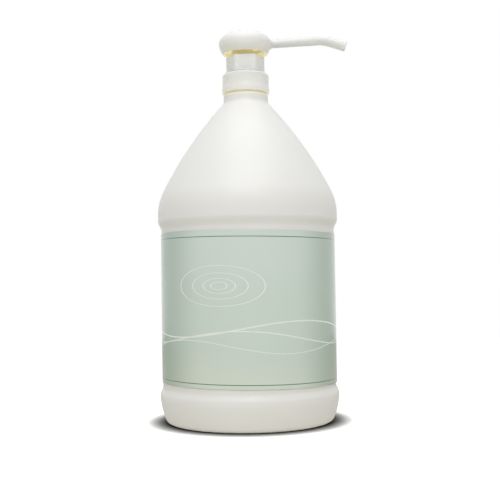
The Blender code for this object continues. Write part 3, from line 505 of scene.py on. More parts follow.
def labelFilm(look):
    # A pressure-sensitive polypropylene film, printed and varnished: pale inks in broad washes
    # with fine swelling lines and a few flat rings, under a clear gloss that mirrors what is
    # bright at its sides.
    made, tree = newMaterial("printedLabelFilm")
    place = addNode(tree, "ShaderNodeUVMap", uv_map="wrap").outputs["UV"]
    way = addNode(tree, "ShaderNodeSeparateXYZ", {"Vector": place})
    along, up = way.outputs["X"], way.outputs["Y"]

    def belowSwell(height, swing, length, shift):
        # how far a point is below the line height + swing sin(2 pi (along + shift) / length)
        turn = worked(tree, "MULTIPLY_ADD", along, fullTurn / (length * mm),
                      fullTurn * shift / length)
        line = worked(tree, "MULTIPLY_ADD", worked(tree, "SINE", turn), swing * mm, height * mm)
        return worked(tree, "SUBTRACT", line, up)

    def inLine(value, width, blur):
        # 1 where the value is within half a line's width of zero, with a blurred edge
        away = worked(tree, "ABSOLUTE", value)
        return spread(tree, away, (width / 2 + blur) * mm, width / 2 * mm)

    colour = look["mist"]
    for ink, height, swing, length, shift, softness in look["washes"]:
        share = spread(tree, belowSwell(height, swing, length, shift), -look["washEdge"] * mm,
                       softness * mm, interpolation_type="SMOOTHSTEP")
        colour = painted(tree, share, colour, ink)
    # painted shade: the label's colour darkens towards both flanks as they turn away from the lamps
    ink, start, full = look["paintedFlankShade"]
    share = spread(tree, worked(tree, "ABSOLUTE", along), start * mm, full * mm,
                   interpolation_type="SMOOTHSTEP")
    colour = painted(tree, share, colour, ink)
    for ink, height, swing, length, shift, width in look["lines"]:
        share = inLine(belowSwell(height, swing, length, shift), width, look["lineBlur"])
        colour = painted(tree, share, colour, ink)
    drops = look["drops"]
    centred = addNode(tree, "ShaderNodeMapping", {
        "Vector": place, "Scale": (1, drops["squash"], 0),
        "Location": (-drops["along"] * mm, -drops["height"] * mm * drops["squash"], 0)})
    distance = addNode(tree, "ShaderNodeVectorMath", {0: centred.outputs[0]}, operation="LENGTH")
    for i in range(drops["count"]):
        radius = (drops["ring"] + drops["step"] * i * (i + 3) / 2) * mm
        away = worked(tree, "SUBTRACT", distance.outputs["Value"], radius)
        share = inLine(away, drops["width"], drops["blur"])
        colour = painted(tree, share, colour, drops["colour"])
    rules = look["rules"]
    for height in rules["heights"]:
        over = worked(tree, "SUBTRACT", up, height * mm)
        share = inLine(over, rules["width"], rules["blur"])
        colour = painted(tree, share, colour, rules["colour"])
    fleck = spread(tree, noise(tree, place, look["inkGrain"]), *noiseRange, *look["inkRange"])
    ink = addNode(tree, "ShaderNodeVectorMath", {0: colour, "Scale": fleck}, operation="SCALE")
    upright = addNode(tree, "ShaderNodeMapping", {
        "Vector": place, "Scale": (1, look["fluteSquash"], 1)})
    waves = noise(tree, upright.outputs[0], look["fluteSize"], 1.0)
    surfaced(tree, {
        "Base Color": ink.outputs[0], "Roughness": look["roughness"], "IOR": look["ior"],
        "Normal": dented(tree, waves, look["fluteStrength"], look["fluteDepth"]),
        "Coat Weight": look["varnish"], "Coat Roughness": look["varnishRoughness"]})
    return made


def makeLabel():
    # A sheet bent round the panel: (radius cos t, radius sin t, z), with u the way along it and
    # v the height; Solidify gives the film its thickness inwards. It was put on a little
    # crooked, and its lower edge bows up at the front.
    halfGap = label["gap"] / 2 / label["radius"]
    t = np.linspace(np.pi / 2 + halfGap, np.pi / 2 + fullTurn - halfGap, label["columns"])[None, :]
    r = label["radius"]
    front = np.clip(-np.sin(t), 0, 1)
    low = label["low"] + label["lowTrim"] + label["lowBow"] * front
    high = label["high"] - label["highTrim"]
    # two rows close to each edge keep the shading of the sheet flat there
    near, inner = label["edgeRows"]
    up = np.concatenate([[0, near], np.linspace(inner, 1 - inner, label["rows"]), [1 - near, 1]])
    z = low + (high - low) * up[:, None] + label["tilt"] * r * np.cos(t)
    grid = np.stack([r * np.cos(t) + 0 * z, r * np.sin(t) + 0 * z, z], -1)
    piece = gridPiece("wrapLabel", grid, wrapRows=False, wrapColumns=False)
    mesh = piece.data
    place = np.empty(len(mesh.vertices) * 3)
    mesh.vertices.foreach_get("co", place)
    x, y, height = place.reshape(-1, 3).T
    along = np.arctan2(x, -y) * r * mm
    vertexOfLoop = np.empty(len(mesh.loops), int)
    mesh.loops.foreach_get("vertex_index", vertexOfLoop)
    wrap = mesh.uv_layers.new(name="wrap")
    level = height - label["low"] * mm - label["tilt"] * x
    uv = np.stack([along, level], 1)[vertexOfLoop]
    wrap.data.foreach_set("uv", uv.ravel())
    film = piece.modifiers.new("film", "SOLIDIFY")
    film.thickness, film.offset = label["thickness"] * mm, -1
    return settle(piece, "bottle", labelFilm(label), "label_film", "label")


makeLabel()
print("stage: label made")


closure = {
    "foot": span("closure")[0], "plateTop": span("closure")[1], "plate": 1.8, "radius": 20.4,
    "bandHeight": 5.2, "band": 0.35, "bandFade": 1.5, "chamfer": 3.0, "drop": 2.1,
    "hole": 14.2, "bore": 18.9, "boreRound": 0.4, "threadRoom": 1.2,
}


def makeClosure():
    c = closure
    wide = c["radius"] + c["band"]
    bandTop = c["foot"] + c["bandHeight"]
    plateBottom = c["plateTop"] - c["plate"]
    outside = roundedStretch([
        (c["bore"], c["foot"], 0), (wide, c["foot"], 0.35),
        (wide, bandTop - c["bandFade"], 8.0), (c["radius"], bandTop + c["bandFade"], 8.0),
        (c["radius"], c["plateTop"] - c["drop"], 0.7),
        (c["radius"] - c["chamfer"], c["plateTop"], 0.8), (c["hole"], c["plateTop"], 0.3),
        (c["hole"], plateBottom, 0.2), (c["bore"], plateBottom, 0)])
    rounding = c["boreRound"]
    corner = arcPoints((c["bore"] - rounding, plateBottom - rounding), rounding, 90, 0, 4)
    bore = bowedLine(corner[-1], (c["bore"], c["foot"] + rounding), 56)
    edge = cornerCurve(bore[-1], (c["bore"], c["foot"]), (c["bore"] + rounding, c["foot"]), 4)
    outline = np.vstack([outside, corner, bore[1:], edge[1:]])

    def change(r, z, t):
        # the inner thread runs half a pitch above the neck's
        inBore = np.abs(r - c["bore"]) < samePlace
        ridge = threadRidge(z, t, neckThread, bottle["beadTop"] + neckThread["room"],
                            plateBottom - c["threadRoom"], phase=0.5)
        return r - inBore * ridge, z

    # painted light: the hidden side is painted ivory with a painted glow, for the light that comes through
    # the thin wall
    material = mouldedPlastic("mouldedPolypropyleneCap", mouldedPolypropylene, {
        "across": c["radius"] - 0.1, "up": 4000, "centre": c["foot"], "low": c["foot"] - 5,
        "high": plateBottom - 0.3, "edge": 0.2, "colour": "FAF6DC",
        "through": 0.15, "throughColour": "FFFAE2"})
    piece = turnedPiece("screwClosure", outline, 160, change)
    return settle(piece, "closure", material, "pump_plastic", "closure")


makeClosure()
print("stage: closure made")


collar = {
    "guideBottom": span("lock_collar")[0], "top": span("lock_collar")[1] - 0.4,
    "height": 14.55, "radius": 16.9, "flat": 15.1, "flats": 6, "soften": 0.35,
    "footRadius": 17.4, "foot": 0.8, "flare": 1.3, "flareOver": 0.3, "edge": 0.5,
    "skirt": 14.2, "floorOver": 8.9, "floor": 1.6, "cup": 12.4, "cupEdge": 0.6,
    "rimOuter": 10.3, "rimInner": 9.5, "rim": 1.0, "guideBore": 6.35, "guideWall": 8.7,
}


def makeCollar():
    c = collar
    bottom = c["top"] - c["height"]
    footTop = bottom + c["foot"]
    floorBottom = sealPlane + c["floorOver"]
    floorTop = floorBottom + c["floor"]
    foot = roundedStretch([(c["skirt"], footTop, 0), (c["skirt"], bottom, 0.2),
                           (c["footRadius"], bottom, 0.25), (c["footRadius"], footTop, 0.25),
                           (c["radius"], footTop, 0)])
    side = bowedLine((c["radius"], footTop), (c["radius"], c["top"] - 1), 34)
    rest = roundedStretch([
        (c["radius"], c["top"] - 2, 0), (c["radius"], c["top"], c["edge"]),
        (c["cup"], c["top"], 0.4), (c["cup"], floorTop, 0.3),
        (c["rimOuter"], floorTop, 0.2), (c["rimOuter"], floorTop + c["rim"], 0.15),
        (c["rimInner"], floorTop + c["rim"], 0.15), (c["rimInner"], floorTop, 0.1),
        (c["guideBore"], floorTop, 0.2), (c["guideBore"], c["guideBottom"], 0.3),
        (c["guideWall"], c["guideBottom"], 0.3), (c["guideWall"], floorBottom, 0.3),
        (c["skirt"], floorBottom, 0.3), (c["skirt"], bottom, 0)])
    outline = np.vstack([foot, side[1:], rest])

    def change(r, z, t):
        # Outside, the radius is the softened smaller one of the round form and the nearest
        # flat, flat / cos(angle from the flat's middle), which flares out again at its foot.
        sector = fullTurn / c["flats"]
        fromFlat = (t - sector / 2) - sector * np.round((t - sector / 2) / sector)
        up = np.clip((z - footTop) / c["flare"], 0, 1)
        flare = c["footRadius"] + c["flareOver"] - c["flat"]
        flat = c["flat"] / np.cos(fromFlat) + flare * (1 - up) ** 2
        k = c["soften"]
        mix = np.clip(0.5 + (flat - c["radius"]) / (2 * k), 0, 1)
        section = flat + (c["radius"] - flat) * mix - k * mix * (1 - mix)
        start = c["cup"] + c["cupEdge"]
        share = np.clip((r - start) / (c["radius"] - c["edge"] - start), 0, 1)
        return r - (z > footTop + samePlace) * share * (c["radius"] - section), z

    piece = turnedPiece("lockCollar", outline, 240, change)
    return settle(piece, "pump", pumpPlastic, "pump_plastic", "lock_collar")


makeCollar()
print("stage: collar made")


head = {
    "bottom": span("head")[0], "top": span("head")[1], "radius": 23.1, "crown": 12.0,
    "belly": 17.2, "rimDrop": 9.2, "rimRoll": (-0.9, -0.3), "wall": 1.8,
    "hub": 8.4, "socket": 6.3, "socketDepth": 12.4,
    "chamber": 4.2, "chamberCover": 3.8, "columns": 128, "ribs": 3, "ribStart": -50.0,
    "ribThickness": 1.3, "ribFootRoom": 0.6, "ribStep": 12.2, "hubBite": 1.2,
}
head["waist"] = head["top"] - head["crown"]
head["rim"] = head["waist"] - head["rimDrop"]
spout = {
    "reach": 89.3, "rise": 3.4, "bendReach": 70.0, "bendRadius": 32.0, "drop": 17.2,
    "rootRadius": 3.85, "tipRadius": 4.6, "bore": 2.6, "fillet": 3.2,
    "filletEnd": 1.6, "plug": 0.75, "sunk": 0.03, "tipRound": 0.5, "columns": 64,
}
spout["rootHeight"] = head["waist"] - head["radius"] * np.tan(np.radians(spout["rise"]))


def headOutline(h):
    # from the top down over the dome, round the rim, up inside, down the hub and up its socket
    centre = (0, h["waist"])
    rimAngle = -np.degrees(np.arcsin(h["rimDrop"] / h["belly"]))
    inner = h["radius"] - h["wall"]
    hubAngle = np.degrees(np.arccos(h["hub"] / inner))
    crown = ellipsePoints(centre, h["radius"], h["crown"], 90, 0, 36)
    belly = ellipsePoints(centre, h["radius"], h["belly"], 0, rimAngle, 18)
    innerBelly = ellipsePoints(centre, inner, h["belly"], rimAngle, 0, 10)
    rim = cornerCurve(belly[-1], belly[-1] + np.array(h["rimRoll"]), innerBelly[0], 6)
    ceiling = ellipsePoints(centre, inner, h["crown"] - h["wall"], 0, hubAngle, 16)
    socketEnd, chamberTop = h["bottom"] + h["socketDepth"], h["top"] - h["chamberCover"]
    hub = roundedOutline([
        tuple(ceiling[-2]) + (0,), tuple(ceiling[-1]) + (1.0,), (h["hub"], h["bottom"], 0.3),
        (h["socket"], h["bottom"], 0.4), (h["socket"], socketEnd, 0.2),
        (h["chamber"], socketEnd, 0.2), (h["chamber"], chamberTop, 1.0), (0, chamberTop, 0)])
    crown[0, 0] = 0
    return np.vstack([crown, belly[1:], rim[1:-1], innerBelly, ceiling[1:-1], hub[perCorner:1 - perCorner]])


def spoutLine(s, start, overrun=0.0):
    # a rising line, an arc and a falling line in the XZ plane, as points and their tilt
    rise, drop = np.radians(s["rise"]), np.radians(s["drop"])
    bendStart = s["bendReach"] - s["bendRadius"] * np.tan((rise + drop) / 2)
    bendHeight = s["rootHeight"] + bendStart * np.tan(rise)
    centre = np.array([bendStart + s["bendRadius"] * np.sin(rise),
                       bendHeight - s["bendRadius"] * np.cos(rise)])
    bend = arcPoints(centre, s["bendRadius"], 90 + s["rise"], 90 - s["drop"], 20)
    x = np.linspace(start, bendStart, 30)
    first = np.stack([x, s["rootHeight"] + x * np.tan(rise)], 1)
    length = (s["reach"] + overrun - bend[-1, 0]) / np.cos(drop)
    way = np.linspace(0, length, 14)[:, None]
    last = bend[-1] + way * np.array([np.cos(drop), -np.sin(drop)])
    line = np.vstack([first, bend[1:], last[1:]])
    run = np.gradient(line, axis=0)
    return line, np.arctan2(run[:, 1], run[:, 0])


def sweptRings(line, tilt, radius, columns):
    # a ring of the given radius at each point of the line, square to it: centre plus
    # radius (cos p across, sin p up), the up direction leaning back by the tilt
    p = np.linspace(0, fullTurn, columns, endpoint=False)[None, :]
    across, up = radius[:, None] * np.cos(p), radius[:, None] * np.sin(p)
    x = line[:, :1] - up * np.sin(tilt)[:, None]
    z = line[:, 1:] + up * np.cos(tilt)[:, None]
    return np.stack([x, across, z], -1)


def onDome(h, y, z):
    # x where the dome's ellipsoid meets a given y and z, upper or lower half
    up = np.where(z > h["waist"], h["crown"], h["belly"])
    return np.sqrt(h["radius"] ** 2 * (1 - ((z - h["waist"]) / up) ** 2) - y ** 2)


def spoutGrid(h, s):
    # Rings from inside the hub to the tip. Where the spout leaves the dome, each of its lines
    # starts on the dome a fillet's width away (A), ends on the spout as far out (B), and bends
    # between them towards the crossing (Q) as (1-t)^2 A + 2t(1-t) Q + t^2 B.
    p = np.linspace(0, fullTurn, s["columns"], endpoint=False)
    rise = np.radians(s["rise"])

    def radiusAt(x):
        share = np.clip((x - h["radius"]) / (s["reach"] - h["radius"]), 0, 1)
        return s["rootRadius"] + (s["tipRadius"] - s["rootRadius"]) * share

    def around(width, sink=0.0):
        y = width * np.cos(p)
        z = s["rootHeight"] + h["radius"] * np.tan(rise) + width * np.sin(p)
        return np.stack([onDome(h, y, z) - sink, y, z], -1)

    crossing = around(s["rootRadius"])
    start = around(s["rootRadius"] + s["fillet"], s["sunk"])
    end = crossing + np.array([s["fillet"], 0, s["fillet"] * np.tan(rise)])
    t = np.linspace(0, 1, 13)[:, None, None]
    fillet = (1 - t) ** 2 * start + 2 * t * (1 - t) * crossing + t ** 2 * end
    line, tilt = spoutLine(s, h["radius"] + s["filletEnd"] * s["fillet"])
    outside = sweptRings(line, tilt, radiusAt(line[:, 0]), s["columns"])
    rounding = np.radians(np.linspace(0, 90, 6))[1:]
    tipRadius = np.append(s["tipRadius"] - s["tipRound"] * (1 - np.cos(rounding)), 0.0)
    push = np.append(s["tipRound"] * np.sin(rounding), s["tipRound"]) - s["tipRound"]
    drop = np.radians(s["drop"])
    tipLine = line[-1] + push[:, None] * np.array([np.cos(drop), -np.sin(drop)])
    tip = sweptRings(tipLine, np.full(len(push), -drop), tipRadius, s["columns"])
    shortened = line[:, 0] < line[-1, 0] - s["tipRound"]
    inX = np.array([h["hub"] - h["hubBite"]] * 2 + [h["radius"] - h["wall"] * s["plug"]])
    inLine = np.stack([inX, s["rootHeight"] + inX * np.tan(rise)], 1)
    inRadius = np.array([0, s["rootRadius"], s["rootRadius"]])
    inside = sweptRings(inLine, np.full(3, rise), inRadius, s["columns"])
    return np.concatenate([inside, fillet, outside[shortened], tip])


def ribPlate(h, angle):
    # one radial plate: its outline in (radius, height), set off to both sides by half its width
    # and closed by a fan from its middle
    centre = (0, h["waist"])
    middle = h["radius"] - h["wall"] / 2
    inner = h["hub"] - h["hubBite"]
    foot = h["rim"] + h["ribFootRoom"]
    seat = span("lock_sleeve")[1] + seatGap
    footAngle = -np.degrees(np.arcsin((h["waist"] - foot) / h["belly"]))
    topAngle = np.degrees(np.arccos(inner / middle))
    side = ellipsePoints(centre, middle, h["belly"], footAngle, 0, 8)
    roof = ellipsePoints(centre, middle, h["crown"] - h["wall"] / 2, 0, topAngle, 14)
    low = np.array([(inner, seat), (h["ribStep"], seat), (h["ribStep"], foot)])
    outline = np.vstack([low, side, roof[1:]])
    middlePoint = outline.mean(0)
    wide = np.array([0.0, 1.0, 1.0, 0.0])[:, None]
    offset = np.array([-1, -1, 1, 1])[:, None] * h["ribThickness"] / 2
    r = middlePoint[0] + (outline[:, 0] - middlePoint[0]) * wide
    z = middlePoint[1] + (outline[:, 1] - middlePoint[1]) * wide
    turn = np.radians(angle)
    x, y = r * np.cos(turn) - offset * np.sin(turn), r * np.sin(turn) + offset * np.cos(turn)
    return gridPiece("ribPlate", np.stack([x, y, z], -1), wrapRows=False)


def makeHead():
    h, s = head, spout
    piece = turnedPiece("pumpHead", headOutline(h), h["columns"])
    piece = combined(piece, gridPiece("spoutForm", spoutGrid(h, s), wrapRows=False), "UNION")
    for i in range(h["ribs"]):
        plate = ribPlate(h, h["ribStart"] + 360 / h["ribs"] * i)
        piece = combined(piece, plate, "UNION")
    line, tilt = spoutLine(s, 0.0, 3 * s["tipRound"])
    line, tilt = np.vstack([line[:1], line, line[-1:]]), np.concatenate([tilt[:1], tilt, tilt[-1:]])
    radius = np.full(len(line), s["bore"])
    radius[[0, -1]] = 0
    bore = gridPiece("spoutBore", sweptRings(line, tilt, radius, 40), wrapRows=False)
    piece = crisp(combined(piece, bore, "DIFFERENCE"), 40)
    # painted light: the hidden side is painted ivory with a painted glow, for the light that the dome's
    # thin wall lets through
    material = mouldedPlastic("mouldedPolypropyleneHead", mouldedPolypropylene, {
        "across": h["radius"] - 0.35, "up": h["belly"] - 0.25, "centre": h["waist"],
        "low": h["bottom"] - 5, "high": h["waist"] - 3, "edge": 0.3, "colour": "FAF3CC",
        "through": 0.32, "throughColour": "FFF6CC"})
    return settle(piece, "plunger", material, "pump_plastic", "head")


makeHead()
print("stage: head and spout made")


sleeve = {"inner": 8.7, "outer": 11.9, "bottom": span("lock_sleeve")[0],
          "top": span("lock_sleeve")[1], "threadLow": 0.6, "threadHigh": 6.4,
          "thread": {"pitch": 3.2, "height": 0.32, "width": 1.4}}


def makeSleeve():
    s = sleeve
    below = roundedStretch([(s["inner"], s["top"], 0), (s["inner"], s["bottom"], 0.3),
                            (s["outer"], s["bottom"], 0.6), (s["outer"], s["top"], 0)])
    side = bowedLine((s["outer"], s["bottom"] + 0.8), (s["outer"], s["top"] - 0.5), 44)
    above = roundedStretch([(s["outer"], s["bottom"], 0), (s["outer"], s["top"], 0.3),
                            (s["inner"], s["top"], 0.3), (s["inner"], s["bottom"], 0)])

    def change(r, z, t):
        # the coarse thread that screws the head down into the collar
        outside = np.abs(r - s["outer"]) < samePlace
        ridge = threadRidge(z, t, s["thread"], s["bottom"] + s["threadLow"],
                            s["bottom"] + s["threadHigh"])
        return r + outside * ridge, z

    piece = turnedPiece("lockSleeve", np.vstack([below, side, above]), 128, change)
    return settle(piece, "plunger", sleevePlastic, "sleeve_plastic", "lock_sleeve")


makeSleeve()
print("stage: lock sleeve made")


stem = {"bore": 4.2, "radius": 6.0, "seatRadius": 2.3, "seatUnderBall": 2.37, "seatWall": 1.5}
rod = {"bore": 2.6, "skirtRadius": 5.8, "skirt": 4.5, "flangeRadius": 8.2, "flange": 1.6,
       "sleeveRadius": 5.2, "sleeve": 9.9, "spigot": 3.9}
piston = {"bore": 5.5, "sleeve": 6.7, "web": 1.6, "lip": 0.6, "lipSetBack": 0.8, "edge": 8.7}
housing = {
    "neck": 13.6, "snap": 0.3, "snapHeight": 1.2, "flangeRadius": 17.5,
    "flange": 2.0, "shoulder": 4.5, "taper": 5.0, "wall": 1.4, "bore": 9.0, "chamber": 5.5,
    "seatRadius": 2.9, "socketBore": 4.25, "socketWall": 1.6, "socketDepth": 16.0,
    "seatHeight": 18.0, "cageSkirt": 2.9, "vent": 0.8,
}


def middleOf(node):
    return sum(span(node)) / 2


def makeStem():
    # a tube from the rod to the head, narrowed near its top to the outlet ball's seat
    s = stem
    low, high = span("stem")
    seat = middleOf("outlet_ball") - s["seatUnderBall"]
    widening = s["bore"] - s["seatRadius"]
    outline = roundedOutline([
        (s["bore"], low, 0.3), (s["radius"], low, 0.5), (s["radius"], high, 0.6),
        (s["bore"], high, 0.2), (s["bore"], seat + widening, 0.5), (s["seatRadius"], seat, 0.2),
        (s["seatRadius"], seat - s["seatWall"], 0.2),
        (s["bore"], seat - s["seatWall"] - widening, 0.5)])
    piece = turnedPiece("pumpStem", outline, 96)
    return settle(piece, "plunger", pumpPlastic, "pump_plastic", "stem")


def makeRod():
    # skirt, spring flange, the piston's sleeve and a spigot up into the stem
    s = rod
    low, high = span("piston_rod")
    flangeTop = low + s["skirt"] + s["flange"]
    sleeveTop = flangeTop + s["sleeve"]
    outline = roundedOutline([
        (s["bore"], low, 0.3), (s["skirtRadius"], low, 0.4),
        (s["skirtRadius"], low + s["skirt"], 0.2), (s["flangeRadius"], low + s["skirt"], 0.3),
        (s["flangeRadius"], flangeTop, 0.3), (s["sleeveRadius"], flangeTop, 0.2),
        (s["sleeveRadius"], sleeveTop, 0.3), (s["spigot"], sleeveTop, 0.2),
        (s["spigot"], high, 0.5), (s["bore"], high, 0.3)])
    piece = turnedPiece("pistonRod", outline, 96)
    return settle(piece, "plunger", innerPlastic, "inner_plastic", "piston_rod")


def makePiston():
    # a sleeve, a web and two thin lips that lean out to the bore
    p = piston
    low, high = span("piston")
    middle = (low + high) / 2
    upper, lower = middle + p["web"] / 2, middle - p["web"] / 2
    waist, lip, setBack = p["edge"] - p["lip"] / 2, p["lip"], p["lipSetBack"]
    outline = roundedOutline([
        (p["bore"], low, 0.2), (p["sleeve"], low, 0.2), (p["sleeve"], lower, 0.3),
        (waist - lip, lower, 0.3), (p["edge"] - lip, low + setBack, 0.1),
        (p["edge"], low + setBack, 0.2), (waist, middle, 1.5), (p["edge"], high - setBack, 0.2),
        (p["edge"] - lip, high - setBack, 0.1), (waist - lip, upper, 0.3),
        (p["sleeve"], upper, 0.3), (p["sleeve"], high, 0.2), (p["bore"], high, 0.2)])
    piece = turnedPiece("pistonSeal", outline, 128)
    return settle(piece, "piston", pistonPlastic, "piston_plastic", "piston")


def makeHousing():
    # from its neck in the closure down over flange and barrel to the dip tube's socket
    h = housing
    low, top = span("pump_housing")
    socketTop, seat = low + h["socketDepth"], low + h["seatHeight"]
    ball = middleOf("inlet_ball")
    ledge = span("ball_cage")[0] + h["cageSkirt"]
    guide = span("lock_collar")[0]
    neckBore, barrel = h["neck"] - h["wall"], h["bore"] + h["wall"]
    chamberWall = h["chamber"] + h["wall"]
    snapRadius, snapLow = h["neck"] + h["snap"], top - h["snapHeight"]
    socketWall = h["socketBore"] + h["socketWall"]
    shoulder = sealPlane - h["shoulder"]
    under = ledge - h["wall"]
    outline = roundedOutline([
        (h["neck"], top, 0.2), (snapRadius, top - h["snap"], 0.1), (snapRadius, snapLow, 0.1),
        (h["neck"], snapLow - h["snap"], 0.1), (h["neck"], sealPlane + h["flange"], 0.3),
        (h["flangeRadius"], sealPlane + h["flange"], 0.3), (h["flangeRadius"], sealPlane, 0.3),
        (h["neck"], sealPlane, 0.3), (h["neck"], shoulder, 1.0),
        (barrel, shoulder - h["taper"], 1.5), (barrel, under, 0.8),
        (chamberWall, under - (barrel - chamberWall), 0.8), (chamberWall, seat, 0.5),
        (socketWall, socketTop, 0.5), (socketWall, low, 0.3), (h["socketBore"], low, 0.4),
        (h["socketBore"], socketTop, 0.2), (h["seatRadius"], socketTop, 0.3),
        (h["seatRadius"], seat, 0.2), (h["chamber"], ball, 0.3), (h["chamber"], ledge, 0.2),
        (h["bore"], ledge, 0.3), (h["bore"], guide, 0.3),
        (neckBore, guide + neckBore - h["bore"], 0.8), (neckBore, top, 0.3)])
    piece = turnedPiece("pumpHousing", outline, 128)
    # the vent: a rod along Y, (vent cos p, y, vent sin p), taken out of the wall
    p = np.linspace(0, fullTurn, 24, endpoint=False)[None, :]
    radius = np.array([0, h["vent"], h["vent"], 0])[:, None]
    y = h["neck"] + 2 * h["wall"] * np.array([-1, -1, 1, 1])[:, None]
    z = sealPlane - h["shoulder"] / 2 + radius * np.sin(p)
    vent = gridPiece("ventTool", np.stack([radius * np.cos(p), y + 0 * p, z], -1),
                     wrapRows=False)
    piece = crisp(combined(piece, vent, "DIFFERENCE"))
    return settle(piece, "pump", innerPlastic, "inner_plastic", "pump_housing")


makeStem()
makeRod()
makePiston()
makeHousing()
print("stage: stem, rod, piston and housing made")


gasket = {"inner": 13.9, "outer": 18.1, "cellSize": 0.45, "cellDepth": 0.08}
wiper = {"bore": 6.3, "outer": 9.2, "lip": 0.5}
tube = {"bore": 2.75, "radius": 3.95, "cutAngle": 40.0}
ballCage = {"bore": 3.3, "skirtRadius": 5.2, "skirt": 3.2, "flangeRadius": 8.7, "flange": 1.2,
            "collarRadius": 5.9, "slot": 1.6, "slotDepth": 2.2}
outletCage = {"bore": 2.4, "radius": 3.9, "slot": 1.4, "slotDepth": 2.6}
spring = {"mean": 7.3, "wire": 0.6, "turns": 9, "closedRise": 1.22, "perTurn": 40, "around": 14}


def closedCellFoam():
    # Expanded polyethylene liner, sliced from sheet: matt, with the tiny round cells of the cut
    made, tree = newMaterial("closedCellFoam")
    cells = addNode(tree, "ShaderNodeTexVoronoi", {
        "Vector": objectPlace(tree), "Scale": 1 / (gasket["cellSize"] * mm)}).outputs["Distance"]
    surfaced(tree, {
        "Base Color": painted(tree, cells, "DEDCD2", "EFEEE8"), "Roughness": 0.8,
        "Normal": dented(tree, cells, 0.5, gasket["cellDepth"])})
    return made


def stainlessSteel(name, roughness, markSize):
    # Stainless steel, drawn as wire or lapped as a ball: a grey mirror, broken up by fine marks
    made, tree = newMaterial(name)
    marks = noise(tree, objectPlace(tree), markSize)
    surfaced(tree, {
        "Base Color": hexColour("C9C8C4"), "Metallic": 1.0,
        "Roughness": spread(tree, marks, 0.0, 1.0, roughness * 0.7, roughness * 1.3),
        "Normal": dented(tree, marks, 0.2, 0.004)})
    return made


def sodaGlass():
    # Soda-lime glass ground to a ball: clear, with the faint green of its iron
    made, tree = newMaterial("sodaLimeGlass")
    cords = noise(tree, objectPlace(tree), 1.5)
    surfaced(tree, {
        "Base Color": painted(tree, cords, "E6F0EC", "F2F7F4"), "Roughness": 0.03, "IOR": 1.52,
        "Transmission Weight": 1.0})
    return made


def makeGasket():
    g = gasket
    low, high = span("cap_gasket")
    outline = roundedOutline([(g["inner"], low, 0.15), (g["outer"], low, 0.15),
                              (g["outer"], high, 0.15), (g["inner"], high, 0.15)])
    piece = turnedPiece("foamGasket", outline, 128)
    return settle(piece, "pump", closedCellFoam(), "gasket_foam", "cap_gasket")


def makeWiper():
    # a ring with a lip that leans in to the stem
    w = wiper
    low, high = span("stem_wiper")
    root = w["bore"] + 2 * w["lip"]
    outline = roundedOutline([
        (root, low, 0.1), (w["outer"], low, 0.15), (w["outer"], high - w["lip"], 0.15),
        (root + w["lip"], high - w["lip"], 0.2), (w["bore"] + w["lip"], high, 0.1),
        (w["bore"], high, 0.1), (root, low + w["lip"], 0.2)])
    piece = turnedPiece("stemWiper", outline, 128)
    return settle(piece, "pump", wiperRubber, "wiper_rubber", "stem_wiper")


def makeTube():
    # a long tube whose end is cut off along z = lowest + (radius - x) tan(cutAngle)
    w = tube
    low, high = span("dip_tube")
    outer = bowedLine((w["radius"], low), (w["radius"], high), 60)
    inner = bowedLine((w["bore"], high), (w["bore"], low), 60)

    def change(r, z, t):
        cut = low + (w["radius"] - r * np.cos(t)) * np.tan(np.radians(w["cutAngle"]))
        return r, cut + (high - cut) * (z - low) / (high - low)

    piece = crisp(turnedPiece("dipTube", np.vstack([outer, inner]), 48, change))
    return settle(piece, "pump", tubePlastic, "tube_plastic", "dip_tube")


def notched(piece, look, bottom, across):
    # two crossing slots in the lower end
    for size in ((across, look["slot"]), (look["slot"], across)):
        depth = look["slotDepth"]
        tool = boxPiece("slotTool", size + (2 * depth,), (0, 0, bottom))
        piece = combined(piece, tool, "DIFFERENCE")
    return crisp(piece)


def makeBallCage():
    c = ballCage
    low, high = span("ball_cage")
    flange = low + c["skirt"]
    outline = roundedOutline([
        (c["bore"], low, 0.2), (c["skirtRadius"], low, 0.3), (c["skirtRadius"], flange, 0.15),
        (c["flangeRadius"], flange, 0.2), (c["flangeRadius"], flange + c["flange"], 0.3),
        (c["collarRadius"], flange + c["flange"], 0.2), (c["collarRadius"], high, 0.4),
        (c["bore"], high, 0.3)])
    piece = notched(turnedPiece("ballCage", outline, 96), c, low, 3 * c["skirtRadius"])
    return settle(piece, "pump", innerPlastic, "inner_plastic", "ball_cage")


def makeOutletCage():
    c = outletCage
    low, high = span("outlet_cage")
    outline = roundedOutline([(c["bore"], low, 0.15), (c["radius"], low, 0.25),
                              (c["radius"], high, 0.25), (c["bore"], high, 0.2)])
    piece = notched(turnedPiece("outletCage", outline, 80), c, low, 3 * c["radius"])
    return settle(piece, "plunger", innerPlastic, "inner_plastic", "outlet_cage")


def makeBall(name, node, body, material, slot):
    # a sphere: (radius cos a cos t, radius cos a sin t, middle + radius sin a)
    low, high = span(node)
    outline = arcPoints((0, (low + high) / 2), (high - low) / 2, -90, 90, 32)
    outline[[0, -1], 0] = 0
    return settle(turnedPiece(name, outline, 64), body, material, slot, node)


